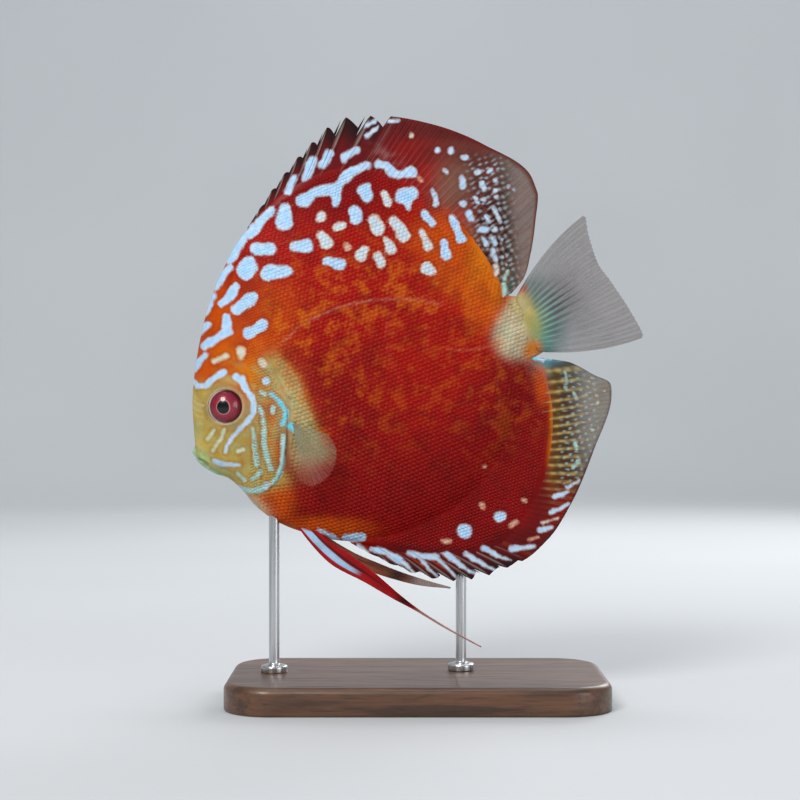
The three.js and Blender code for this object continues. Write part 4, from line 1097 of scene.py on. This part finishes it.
area("key", (-0.42, -0.78, 0.80), (0, 0, 0.11), 0.45, 9.0, (1, 0.985, 0.96))
area("fill", (0.85, -0.75, 0.30), (0, 0, 0.11), 0.6, 3.4, (0.95, 0.975, 1.0))
area("top", (0.0, 0.10, 1.05), (0, 0, 0.1), 0.6, 2.6)
area("rim", (0.45, 0.80, 0.55), (0, 0, 0.12), 0.5, 3.4)
area("sweep", (0.0, 0.45, 1.25), (0, 1.75, 0.25), 0.9, 10.0, (0.97, 0.985, 1.0))
world = bpy.data.worlds.new("studio")
scene.world = world
world.use_nodes = True
world.node_tree.nodes["Background"].inputs[0].default_value = (0.82, 0.85, 0.88, 1)
world.node_tree.nodes["Background"].inputs[1].default_value = 0.42


def build_floor():
    # a floor that sweeps up into a backdrop all round
    n, rings = 96, []
    for r, z in [(0.0, 0), (0.5, 0), (1.15, 0)] + [(1.15 + 0.6 * math.sin(a), 0.6 - 0.6 * math.cos(a)) for a in np.linspace(0.13, math.pi / 2, 12)] + [(1.75, 0.85)]:
        rings.append((r, z))
    verts, faces = [(0, 0, 0)], []
    for r, z in rings[1:]:
        for k in range(n):
            a = 2 * math.pi * k / n
            verts.append((r * math.cos(a) / MM, r * math.sin(a) / MM, z / MM))
    me_f = []
    for k in range(n):
        me_f.append((0, 1 + k, 1 + (k + 1) % n))
    for m in range(len(rings) - 2):
        for k in range(n):
            a, b = 1 + m * n + k, 1 + m * n + (k + 1) % n
            me_f.append((a, a + n, b + n))
            me_f.append((a, b + n, b))
    ob = make_mesh("floor", np.array(verts, float), np.array(me_f))
    mat, nt, b = nodes_of("floor_paper")
    net = Net(nt)
    col = net.mix(net.ramp(net.noise(2.0, 2), 0.3, 0.7), (0.50, 0.52, 0.54), (0.53, 0.55, 0.57))
    net.link(col, b.inputs["Base Color"])
    b.inputs["Roughness"].default_value = 0.8
    ob.data.materials.append(mat)
    return ob


build_floor()

# ------------------------------------------------------------------ the fish
SKIN, SCALES = skin_material(), scale_material()
skin = build_skin()
skin.data.materials.append(SKIN)
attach(skin, "root")
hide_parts("head", "trunk", "tail")

gill_u = lambda v: np.interp(v, GILL_EDGE[::-1, 1], GILL_EDGE[::-1, 0])
# head naked in front of this line: snout, forehead and round the eye
FACE_LINE = catmull(line_uv((232, 250), (240, 300), (246, 340), (250, 372), (256, 400), (256, 440), (250, 470), (240, 492)), 8)
face_u = lambda v: np.interp(v, FACE_LINE[::-1, 1], FACE_LINE[::-1, 0])


def on_trunk(u, v):
    return np.where(v > GILL_EDGE[-1, 1] - 1, u > gill_u(v) + 1.6, u > 14) & ((u > face_u(v) + 10) | (v < 20)) & (v > belly(u) - 30) & ~(
        (u < 44) & (v > 40) & (u < face_u(v) + 12)) & (
        (v < back(u) - 1.0) & (v > belly(u) + 1.0))


def on_cheek(u, v):
    return (u > face_u(v) + 0.6) & ~on_trunk(u, v) & (np.where(v > GILL_EDGE[-1, 1] - 1, u < gill_u(v) - 0.5, False) | (v > 22)) & (v < back(u) - 1.2) & (
        v > belly(u) + 1.2) & (np.hypot(u - EYE_U, v - EYE_V) > 8.5) & (u < 60)


def on_sheath(u, v):
    return ((v > back(u) - 1.0) & (u > 46)) | ((v < belly(u) + 1.0) & (u > 38))


coat = []
for side, tag in ((-1, "left"), (1, "right")):
    for name, pu, ps, where, lift, seed, margin in (("scales_flank_", 1.5, 1.28, on_trunk, 0.026, 3, 0.9), ("scales_cheek_", 1.05, 0.92, on_cheek, 0.020, 5, 0.9),
                                            ("scales_fin_base_", 1.15, 1.0, on_sheath, 0.022, 9, 2.3)):
        ob, n = build_scales(name + tag, side, pu, ps, where, lift, seed + (side > 0), margin)
        print("COAT", ob.name, n, len(ob.data.polygons))
        ob.data.materials.append(SCALES)
        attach(ob, "root")
        coat.append(ob)

FIN, FIN_CLEAR = fin_material("discus_fin", False), fin_material("discus_fin_clear", True)


def finish_fin(ob, verts, rib, ribcol, solid, mat, slot, *nodes):
    put(ob.data, "rib", rib)
    put(ob.data, "ribcol", ribcol)
    put(ob.data, "solid", solid)
    ob.data.materials.append(mat)
    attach(ob, "root")
    if nodes:
        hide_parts(*nodes)


def columns(a, b, n):
    return np.linspace(a, b, n)


def dorsal_half(s, t):
    rel = ray_relief(s, t, 0.55, 8, 30, 0.05, 0.55)
    return lerp(0.62, 0.16, np.sqrt(np.clip(t, 0, 1))) + 0.17 * rel * (1 - 0.4 * t)


def spine_tips(base, s, t, start, end, count, reach):
    """Dark free tips of the spines, each with a painted highlight: a pale line on its leading edge."""
    f = (s - start) / ((end - start) / count)
    k = f - np.floor(f)
    spiny = smooth(end + 0.03, end - 0.02, s)
    dark = smooth(reach, 0.99, t + 0.10 * (k - 0.5)) * spiny
    base = lerp(base, srgb(20, 8, 12), (0.93 * dark)[:, None])
    # painted highlight: a pale line down the leading side of each spine, the side that faces the light
    lead = np.exp(-((k - 0.20) / 0.045) ** 2) * smooth(0.42, 0.62, t) * (1 - smooth(0.9, 1.0, t)) * spiny
    base = lerp(base, srgb(150, 160, 150), (0.55 * lead)[:, None])
    behind = np.exp(-((k - 0.33) / 0.07) ** 2) * smooth(0.2, 0.5, t) * spiny
    return lerp(base, srgb(34, 6, 8), (0.55 * behind)[:, None])


def dorsal_paint(st, verts, base, sd, tint, mott):
    x, y = seen(verts)
    base = lerp(base, srgb(96, 8, 12), (0.75 * smooth(455, 380, x))[:, None])
    base = lerp(base, srgb(84, 26, 24), (0.7 * smooth(396, 436, x) * smooth(178, 150, y))[:, None])
    base = spine_tips(base, st[:, 0], st[:, 1], 0.05, 0.55, 8, 0.66)
    # rear membrane: brownish grey with dark pepper between the pale dots and a dark rim
    rear = smooth(440, 500, x + 0.2 * (y - 200))
    base = lerp(base, lerp(srgb(92, 34, 32), SMOKE, smooth(470, 512, x)[:, None]), 0.85 * rear[:, None])
    # dark cells of the netted band that runs down inside the clear margin, lit spots between them
    band = np.exp(-((x - (489 + 0.10 * (y - 180))) / 20) ** 4) * smooth(150, 168, y) * smooth(304, 292, y)
    cell = np.sin((x + 0.45 * y) * 0.62 + 0.9 * np.sin(y * 0.31)) * np.sin((y - 0.30 * x) * 0.66 + 0.9 * np.sin(x * 0.37))
    deep = lerp(0.45, 1.0, smooth(172, 222, y))
    base = lerp(base, srgb(40, 26, 24), (0.5 * band * deep)[:, None])
    base = lerp(base, srgb(12, 10, 12), (0.95 * band * deep * smooth(0.0, 0.28, cell))[:, None])
    base = lerp(base, srgb(150, 184, 196), (0.8 * band * smooth(0.40, 0.66, -cell))[:, None])
    rim_line = smooth(0.955, 0.985, st[:, 1]) * smooth(0.5, 0.6, st[:, 0])
    base = lerp(base, srgb(92, 20, 18), (0.8 * rim_line)[:, None])
    base = lerp(base, TEAL * 0.7, (0.6 * np.exp(-(((x - 506) / 9) ** 2 + ((y - 285) / 16) ** 2)))[:, None])
    return base, sd, tint, mott * 0.5


S = np.concatenate([columns(0, 0.55, 230), columns(0.55, 1, 330)[1:]])
T = 1 - (1 - np.linspace(0, 1, 40)) ** 1.15
dorsal, dv, dst = ray_mesh("dorsal_fin_skin", dorsal_mid, dorsal_half, S, T, dorsal_paint)
rib = ray_relief(dst[:, 0], dst[:, 1], 0.55, 8, 30, 0.05, 0.55)
xx, yy = seen(dv)
rear = smooth(440, 505, xx + 0.35 * (yy - 200))
edge = smooth(0.93, 0.985, dst[:, 1])
net_band = np.exp(-((xx - (489 + 0.10 * (yy - 180))) / 20) ** 4) * smooth(150, 168, yy) * smooth(304, 292, yy)
solid = np.clip(1 - 0.42 * rear * (1 - 0.5 * rib) + 0.3 * edge + 0.35 * net_band, 0.3, 1)
ribcol = lerp(srgb(126, 26, 24), srgb(120, 98, 84), rear[:, None])
finish_fin(dorsal, dv, rib, ribcol, solid, FIN_CLEAR, "fin", "dorsal_fin")


def anal_half(s, t):
    rel = ray_relief(s, t, 0.5, 8, 30, 0.03, 0.5)
    return lerp(0.62, 0.16, np.sqrt(np.clip(t, 0, 1))) + 0.17 * rel * (1 - 0.4 * t)


def anal_paint(st, verts, base, sd, tint, mott):
    x, y = seen(verts)
    s_, t_ = st[:, 0], st[:, 1]
    streaky = smooth(0.25, 0.6, t_) * smooth(0.6, 0.45, s_)
    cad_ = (s_ - 0.03) / (0.47 / 8)
    base = lerp(base, srgb(170, 66, 10), (0.6 * streaky * np.exp(-(((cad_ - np.floor(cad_)) - 0.62) / 0.12) ** 2))[:, None])
    base = spine_tips(base, s_, t_, 0.03, 0.5, 8, 0.72)
    # rear part: pale rays over dark cells, then a grey clear margin
    rear = smooth(540, 556, x + 2.2 * np.sin(y * 0.75)) * smooth(512, 470, y)
    g = (s_ - 0.5) / 0.5 * 30
    ray = np.exp(-(np.abs(g - np.floor(g) - 0.5) / 0.17) ** 2)
    cells = lerp(srgb(58, 44, 22), srgb(182, 160, 96), (ray * (0.65 + 0.35 * np.sin(x * 0.62 + 2.0 * np.sin(y * 0.21))))[:, None])
    out = smooth(570, 592, x)
    cells = lerp(cells, srgb(122, 118, 104), (0.85 * out)[:, None])
    base = lerp(base, cells, 0.92 * rear[:, None])
    dots = smooth(0.45, 0.8, np.sin(x * 0.66 + 0.35 * y) * np.sin(y * 0.60 - 0.2 * x))
    base = lerp(base, srgb(160, 196, 196), (0.7 * dots * smooth(556, 566, x) * smooth(604, 592, x) * smooth(500, 470, y) * smooth(366, 376, y))[:, None])
    base = lerp(base, srgb(70, 26, 16), (0.8 * smooth(0.965, 0.99, t_) * smooth(0.5, 0.6, s_))[:, None])
    top = np.exp(-(((x - 546) / 16) ** 2 + ((y - 358) / 6) ** 2))
    base = lerp(base, srgb(56, 156, 180), (0.9 * top)[:, None])
    return base, sd, tint, mott * 0.4


S = np.concatenate([columns(0, 0.5, 220), columns(0.5, 1, 330)[1:]])
anal, av, ast = ray_mesh("anal_fin_skin", anal_mid, anal_half, S, T, anal_paint)
rib = ray_relief(ast[:, 0], ast[:, 1], 0.5, 8, 30, 0.03, 0.5)
xx, yy = seen(av)
rear = smooth(552, 590, xx) * smooth(500, 430, yy)
solid = np.clip(1 - 0.46 * rear * (1 - 0.5 * rib), 0.3, 1)
ribcol = lerp(srgb(150, 34, 10), srgb(176, 152, 92), smooth(535, 560, xx)[:, None])
finish_fin(anal, av, rib, ribcol, solid, FIN_CLEAR, "fin", "anal_fin")

# caudal fin
caudal_u = profile([[0, 148.6], [0.03, 149.2], [0.14, 148], [0.35, 147.3], [0.55, 148.8], [0.8, 151.2], [0.96, 152.2], [1, 151.4]])
caudal_v = profile([[0, 24.2], [0.03, 23.4], [0.14, 17.8], [0.35, 8.4], [0.55, 1], [0.8, -11], [0.96, -19.3], [1, -20.6]])


def caudal_mid(s, t):
    q = np.clip(s, 0, 1)
    f = (q * 16) - np.floor(q * 16)
    fray = 0.35 * np.abs(np.sin(math.pi * f * 2)) * smooth(0.9, 1.0, t)
    bu, bv = np.full_like(q, 117.6), lerp(7.4, -11.8, q)
    u = lerp(bu, caudal_u(q) - fray, t)
    v = lerp(bv, caudal_v(q), t) + 4 * t * (1 - t) * lerp(2.2, -2.0, q)
    y = 0.9 * t ** 1.5 * np.sin(q * 5.4 + 0.6)
    return place(u, v, y)


def caudal_rib(s, t):
    g = s * 16
    k = np.abs(g - np.floor(g) - 0.5)
    one = np.exp(-(k / 0.15) ** 2)
    two = np.exp(-((k - 0.19 * smooth(0.25, 0.6, t)) / 0.1) ** 2)
    four = np.exp(-((np.abs(k - 0.21) - 0.09 * smooth(0.6, 1, t)) / 0.06) ** 2)
    r = lerp(one, two, smooth(0.25, 0.4, t))
    r = lerp(r, four, smooth(0.66, 0.8, t))
    return r * (1 - 0.1 * (np.sin(t * 130) > 0.75))


def caudal_half(s, t):
    root = np.minimum(lerp(1.95, 2.22, smooth(0, 0.05, t)), lerp(2.22, 0.34, smooth(0.04, 0.27, t)))
    return root * (1 - 0.4 * smooth(0.1, 1, t)) * np.sqrt(np.clip(1 - (2 * s - 1) ** 8, 0.02, 1)) + 0.13 * caudal_rib(s, t) * smooth(0.05, 0.25, t) * (1 - 0.5 * t)


def caudal_paint(st, verts, base, sd, tint, mott):
    x, y = seen(verts)
    d = np.hypot(x - 520, (y - 325) * 0.9)
    near = smooth(58, 16, d)
    low = smooth(300, 336, y)
    col = lerp(srgb(132, 124, 122), TEAL, (smooth(62, 24, d) * lerp(0.45, 0.8, low))[:, None])
    col = lerp(col, LIME, (0.9 * smooth(36, 14, d))[:, None])
    rib_ = caudal_rib(st[:, 0], st[:, 1])
    col = lerp(col, srgb(60, 62, 70), (0.28 * (1 - np.clip(rib_, 0, 1)) * smooth(130, 60, d))[:, None])
    g = st[:, 0] * 16
    gap = smooth(0.30, 0.46, np.abs(g - np.floor(g) - 0.5))
    streak = gap * np.exp(-(((x - 562) / 20) ** 2 + ((y - 300) / 24) ** 2))
    col = lerp(col, srgb(38, 42, 54), (0.9 * streak)[:, None])
    glint = np.exp(-(((x - 545) / 8) ** 2 + ((y - 322) / 22) ** 2)) * np.clip(rib_, 0, 1)
    col = lerp(col, srgb(130, 196, 190), (0.6 * glint)[:, None])
    col = lerp(col, base, np.maximum(smooth(24, 14, d), smooth(0.2, 0.08, st[:, 1]))[:, None])
    return col, np.full(len(x), 30.0), tint, mott * 0


S = columns(0, 1, 16 * 16 + 1)
T2 = np.linspace(0, 1, 56)
caudal, cv, cst = ray_mesh("caudal_fin_skin", caudal_mid, caudal_half, S, T2, caudal_paint)
rib = caudal_rib(cst[:, 0], cst[:, 1])
xx, yy = seen(cv)
d = np.hypot(xx - 520, (yy - 325) * 0.9)
dusk = np.exp(-(((xx - 562) / 22) ** 2 + ((yy - 300) / 26) ** 2))
solid = np.clip(lerp(0.36, 1.0, smooth(56, 18, d)) + 0.26 * rib + 0.25 * dusk, 0, 1)
ribcol = lerp(srgb(142, 136, 134), srgb(118, 150, 140), smooth(70, 30, d)[:, None])
finish_fin(caudal, cv, rib, ribcol, solid, FIN_CLEAR, "fin_clear", "caudal_fin")


# pelvic fins
def pelvic(name, side, lead, trail, spread, node, colour, clear):
    lu, lv = profile([(a, b) for a, b, c in lead]), profile([(a, c) for a, b, c in lead])
    tu, tv = profile([(a, b) for a, b, c in trail]), profile([(a, c) for a, b, c in trail])

    def middle(s, t):
        s = np.clip(s, 0, 1)
        y = side * (1.5 + (spread + 0.4) * np.sin(s * math.pi / 2) + 0.5 * t - 0.5 * np.sin(t * math.pi) * np.sin(s * math.pi))
        return place(lerp(lu(s), tu(s), t), lerp(lv(s), tv(s), t), y)

    def rel(s, t):
        g = t * 5
        k = np.abs(g - np.floor(g) - 0.5)
        return np.maximum(np.exp(-(k / 0.16) ** 2) * 0.8, np.exp(-(t / 0.08) ** 2) * 1.4)

    def half(s, t):
        return lerp(0.42, 0.17, smooth(0, 0.75, s)) * np.sqrt(np.clip(1 - (2 * t - 1) ** 6, 0.05, 1)) + 0.13 * rel(s, t) * (1 - smooth(0.6, 1, s))

    def col(st, verts, base, sd, tint, mott):
        n = len(verts)
        s_, t_ = st[:, 0], st[:, 1]
        c = np.tile(colour, (n, 1))
        # pale blue streak behind the leading spine, dark gap behind it, dark point, clear thread beyond
        c = lerp(c, srgb(36, 6, 10), (0.75 * np.exp(-((t_ - 0.62) / 0.09) ** 2) * smooth(0.62, 0.4, s_))[:, None])
        c = lerp(c, srgb(30, 6, 10), (0.8 * np.exp(-((s_ - 0.68) / 0.06) ** 2))[:, None])
        c = lerp(c, srgb(160, 100, 74) if clear else srgb(196, 140, 132), smooth(0.74, 0.80, s_)[:, None])
        if not clear:
            streak = smooth(0.26, 0.19, np.abs(t_ - 0.36) * (1 + 1.8 * s_)) * smooth(0.40, 0.33, s_ - 0.1 * np.abs(t_ - 0.4)) * smooth(0.0, 0.03, s_)
            c = lerp(c, srgb(158, 196, 226), (0.92 * streak)[:, None])
        return c, np.full(n, 30.0), tint, mott * 0.3
    ob, v, st = ray_mesh(name, middle, half, columns(0, 1, 110), columns(0, 1, 31), col)
    rib = rel(st[:, 0], st[:, 1])
    far = smooth(0.72, 0.85, st[:, 0])
    solid = np.clip((0.86 if clear else 1.0) - 0.30 * far + 0.1 * rib, 0, 1)
    rc = lerp(np.tile(colour * 1.25, (len(v), 1)), srgb(170, 116, 104), far[:, None])
    finish_fin(ob, v, rib * 0.5 * (1 - smooth(0.0, 0.45, 0.45 - st[:, 0])), rc, solid, FIN_CLEAR, "fin", node)
    return ob


pelvic("pelvic_fin_skin_left", -1,
       [[0, 22.6, -35.0], [0.1, 24.4, -41.5], [0.25, 28, -50.3], [0.45, 36.7, -60.8], [0.62, 43.2, -69],
        [0.76, 48.3, -75], [0.88, 55, -83.9], [1, 63.9, -94.4]],
       [[0, 29, -40.5], [0.1, 31.4, -44.6], [0.25, 36.2, -51.4], [0.45, 41.3, -60], [0.62, 45.6, -68.3],
        [0.76, 49.2, -74.6], [0.88, 55.5, -83.5], [1, 64.1, -94.2]], 4.2, "pelvic_fin_left", srgb(150, 8, 14), False)
pelvic("pelvic_fin_skin_right", 1,
       [[0, 22.6, -35.0], [0.12, 25.2, -42.5], [0.3, 31, -51], [0.5, 38.5, -58.4], [0.7, 46.2, -65],
        [0.85, 53, -69.9], [1, 61.6, -74.4]],
       [[0, 29, -40.5], [0.12, 31.8, -44.8], [0.3, 37, -51.6], [0.5, 42.6, -57.4], [0.7, 48.8, -63.4],
        [0.85, 54.4, -68.2], [1, 61.9, -74.1]], 6.4, "pelvic_fin_right", srgb(156, 82, 44), True)


# pectoral fins
def pectoral(name, side, node):
    length = profile([[0, 12.4], [0.22, 16.8], [0.5, 18.2], [0.75, 17.2], [1, 12.6]])

    def middle(s, t):
        # s across the fan, t out along a ray
        q = np.clip(s, 0, 1)
        a = np.radians(-38 - 70 * q)
        far = length(q) * t
        f = q * 12 - np.floor(q * 12)
        far = far * (1 - 0.018 * np.abs(np.sin(math.pi * f)) * smooth(0.85, 1, t))
        out = -1.3 + 1.7 * smooth(0, 0.12, t) + 7.2 * np.maximum(t, 0) ** 1.1 - 1.2 * np.sin(math.pi * q) * t
        return place(34.6 - 0.6 * q + far * np.cos(a), -3.6 - 5.6 * q + far * np.sin(a), side * (13.5 + out))

    def rel(s, t):
        k = np.abs(s * 12 - np.floor(s * 12) - 0.5)
        one = np.exp(-(k / 0.14) ** 2)
        two = np.exp(-((k - 0.2 * smooth(0.4, 0.9, t)) / 0.1) ** 2)
        return lerp(one, two, smooth(0.4, 0.55, t))

    def half(s, t):
        return lerp(0.5, 0.11, smooth(0, 0.3, t)) + 0.09 * rel(s, t) * (1 - 0.6 * t)

    def col(st, verts, base, sd, tint, mott):
        x, y = seen(verts)
        low = smooth(450, 470, y)
        c = lerp(np.tile(srgb(154, 150, 122), (len(x), 1)), srgb(146, 72, 64), low[:, None])
        return c, np.full(len(x), 30.0), tint, mott * 0
    ob, v, st = ray_mesh(name, middle, half, columns(0, 1, 12 * 10 + 1), np.linspace(0, 1, 34), col)
    rib = rel(st[:, 0], st[:, 1])
    solid = np.clip(lerp(0.85, 0.26, smooth(0.0, 0.3, st[:, 1])) + 0.20 * rib * (1 - 0.5 * st[:, 1]) - 0.12 * smooth(0.6, 1, st[:, 1]), 0.05, 1)
    finish_fin(ob, v, rib * 0.8, np.tile(srgb(168, 150, 118), (len(v), 1)), solid, FIN_CLEAR, "fin_clear", node)
    return ob


pectoral("pectoral_fin_skin_left", -1, "pectoral_fin_left")
pectoral("pectoral_fin_skin_right", 1, "pectoral_fin_right")

# eyes: an iris sunk under a domed wet surface, set in the orbit
EYE = eye_material()


def build_eye(name, side, node):
    rings, around = 56, 96
    th = np.linspace(0, math.pi, rings)
    ph = np.linspace(0, 2 * math.pi, around, endpoint=False)
    rad = EYE_R * np.sin(th)
    dep = EYE_DEPTH * np.cos(th)
    # cornea bulges a little over the iris, with a slight furrow at its rim
    dep = dep + 0.35 * np.exp(-(rad / 3.6) ** 2) * (np.cos(th) > 0) - 0.10 * np.exp(-((rad - 5.1) / 0.35) ** 2) * (np.cos(th) > 0)
    u = EYE_U + rad[1:-1, None] * np.cos(ph)[None]
    v = EYE_V + rad[1:-1, None] * np.sin(ph)[None]
    y = side * (EYE_Y + dep[1:-1, None] + 0 * ph[None])
    mid = place(u.ravel(), v.ravel(), 0.0)
    mid[:, 1] = y.ravel()
    pole = place(np.array([EYE_U, EYE_U]), np.array([EYE_V, EYE_V]), 0.0)
    pole[:, 1] = side * (EYE_Y + np.array([dep[0], dep[-1]]))
    verts = np.vstack([mid, pole])
    nr = rings - 2
    k = np.arange(around)
    k1 = (k + 1) % around
    f = []
    for m in range(nr - 1):
        a, b = m * around + k, m * around + k1
        f.append(np.stack([a, a + around, b + around], 1))
        f.append(np.stack([a, b + around, b], 1))
    f.append(np.stack([np.full(around, nr * around), k, k1], 1))
    last = (nr - 1) * around
    f.append(np.stack([np.full(around, nr * around + 1), last + k1, last + k], 1))
    faces = np.vstack(f)
    t = verts[faces[0]]
    c = np.array([*place(np.array([EYE_U]), np.array([EYE_V]), side * EYE_Y)[0]])
    if np.dot(np.cross(t[1] - t[0], t[2] - t[0]), t.mean(0) - c) < 0:
        faces = faces[:, ::-1]
    ob = make_mesh(name, verts, faces)
    pu, pv = uv_of(224.6, 407.4)
    uu, vv = own(verts[:, 0], verts[:, 2])
    r = np.hypot(uu - EYE_U, vv - EYE_V)
    # the pupil sits slightly ahead of and below the middle of the iris
    shift = np.clip(1 - r / 5.0, 0, 1)
    r2 = np.hypot(uu - lerp(EYE_U, pu, shift), vv - lerp(EYE_V, pv, shift))
    r2 = np.where((verts[:, 1] - side * EYE_Y) * side > 0, r2, 5.9)
    put(ob.data, "er", r2)
    a = np.arctan2(vv - EYE_V, uu - EYE_U)
    put(ob.data, "ea", a)
    put(ob.data, "eyevec", np.column_stack([np.cos(a) * 5, np.sin(a) * 5, r2 * 0.8]))
    uv2 = np.column_stack([0.5 + (uu - EYE_U) / 14, 0.25 + (vv - EYE_V) / 28])
    uv2[(verts[:, 1] - side * EYE_Y) * side < 0, 1] += 0.5
    put_uv(ob, uv2[faces.ravel()])
    ob.data.materials.append(EYE)
    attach(ob, "root")
    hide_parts(node)


build_eye("eye_ball_left", -1, "eye_left")
build_eye("eye_ball_right", 1, "eye_right")

# ------------------------------------------------------------------ the stand
WOOD, STEEL = wood_material(), steel_material()
BASE_L, BASE_W, BASE_H, CORNER = 124.0, 70.0, 9.0, 16.0
ROD_R, COLLAR = 1.75, 4.4
RODS = ((-47.2, 0.0, "front"), (14.6, 4.6, "rear"))


def lathe(name, rows, x, y, around=64):
    ph = np.linspace(0, 2 * math.pi, around, endpoint=False)
    rows = [r for r in rows]
    verts = [np.array([[x, y, rows[0][1]]])]
    for r, z in rows[1:-1]:
        verts.append(np.stack([x + r * np.cos(ph), y + r * np.sin(ph), np.full(around, z)], 1))
    verts.append(np.array([[x, y, rows[-1][1]]]))
    verts = np.vstack(verts)
    k = np.arange(around)
    k1 = (k + 1) % around
    f = [np.stack([np.zeros(around, int), 1 + k1, 1 + k], 1)]
    for m in range(len(rows) - 3):
        a, b = 1 + m * around + k, 1 + m * around + k1
        f += [np.stack([a, b, b + around], 1), np.stack([a, b + around, a + around], 1)]
    last = 1 + (len(rows) - 3) * around
    f.append(np.stack([np.full(around, len(verts) - 1), last + k, last + k1], 1))
    return make_mesh(name, verts, np.vstack(f))


def arc_rows(r, z, rr, a0, a1, n=6):
    return [(r + rr * math.cos(a), z + rr * math.sin(a)) for a in np.linspace(a0, a1, n)]


def auto_smooth(ob, deg=35):
    me = ob.data
    bpy.context.view_layer.objects.active = ob
    ob.select_set(True)
    me.set_sharp_from_angle(angle=math.radians(deg))
    ob.select_set(False)


for x, y, tag in RODS:
    top = 90.0 if tag == "rear" else 66.0
    rows = [(0, 5.4), (ROD_R, 5.4), (ROD_R, 9.02), (COLLAR - 0.3, 9.02)] + arc_rows(COLLAR - 0.3, 9.32, 0.3, -math.pi / 2, 0, 4) + \
        [(COLLAR, 10.5)] + arc_rows(COLLAR - 0.7, 10.7, 0.7, 0, math.pi / 2 * 0.9, 6) + \
        [(ROD_R + 0.9, 11.7)] + arc_rows(ROD_R + 0.5, 12.2, 0.5, -math.pi / 2, -math.pi, 5) + \
        [(ROD_R, 13.5), (ROD_R, 40.0), (ROD_R, top - 0.4), (ROD_R - 0.4, top), (0, top)]
    ob = lathe("stand_rod_" + tag + "_steel", rows, x, y)
    auto_smooth(ob)
    ob.data.materials.append(STEEL)
    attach(ob, "root")
    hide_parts("stand_rod_" + tag)


def build_base():
    def ring(inset, z, per=24):
        hx, hy, r = BASE_L / 2 - inset, BASE_W / 2 - inset, CORNER - inset
        pts = []
        for sx, sy, q in ((1, 1, 0), (-1, 1, 1), (-1, -1, 2), (1, -1, 3)):
            for k in range(per + 1):
                a = (q + k / per) * math.pi / 2
                pts.append((sx * (hx - r) + r * math.cos(a), sy * (hy - r) + r * math.sin(a), z))
        return np.array(pts)
    levels = [(3.0, 0.0), (0.9, 0.0), (0.45, 0.12), (0.12, 0.45), (0.0, 0.9), (0.0, 3.0), (0.0, BASE_H - 2.4)]
    for k in range(1, 9):
        a = k / 8 * math.pi / 2
        levels.append((2.4 * (1 - math.cos(a)) * 1.0, BASE_H - 2.4 + 2.4 * math.sin(a)))
    levels += [(3.4, BASE_H), (8.0, BASE_H)]
    rings = [ring(i, z) for i, z in levels]
    n = len(rings[0])
    verts = np.vstack(rings + [np.array([[0, 0, 0.0]]), np.array([[0, 0, BASE_H]])])
    k = np.arange(n)
    k1 = (k + 1) % n
    f = []
    for m in range(len(rings) - 1):
        a, b = m * n + k, m * n + k1
        f += [np.stack([a, b, b + n], 1), np.stack([a, b + n, a + n], 1)]
    c0, c1, last = len(rings) * n, len(rings) * n + 1, (len(rings) - 1) * n
    f.append(np.stack([np.full(n, c0), k1, k], 1))
    f.append(np.stack([np.full(n, c1), last + k, last + k1], 1))
    ob = make_mesh("stand_base_wood", verts, np.vstack(f))
    auto_smooth(ob, 30)
    ob.data.materials.append(WOOD)
    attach(ob, "root")
    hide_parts("stand_base")


build_base()
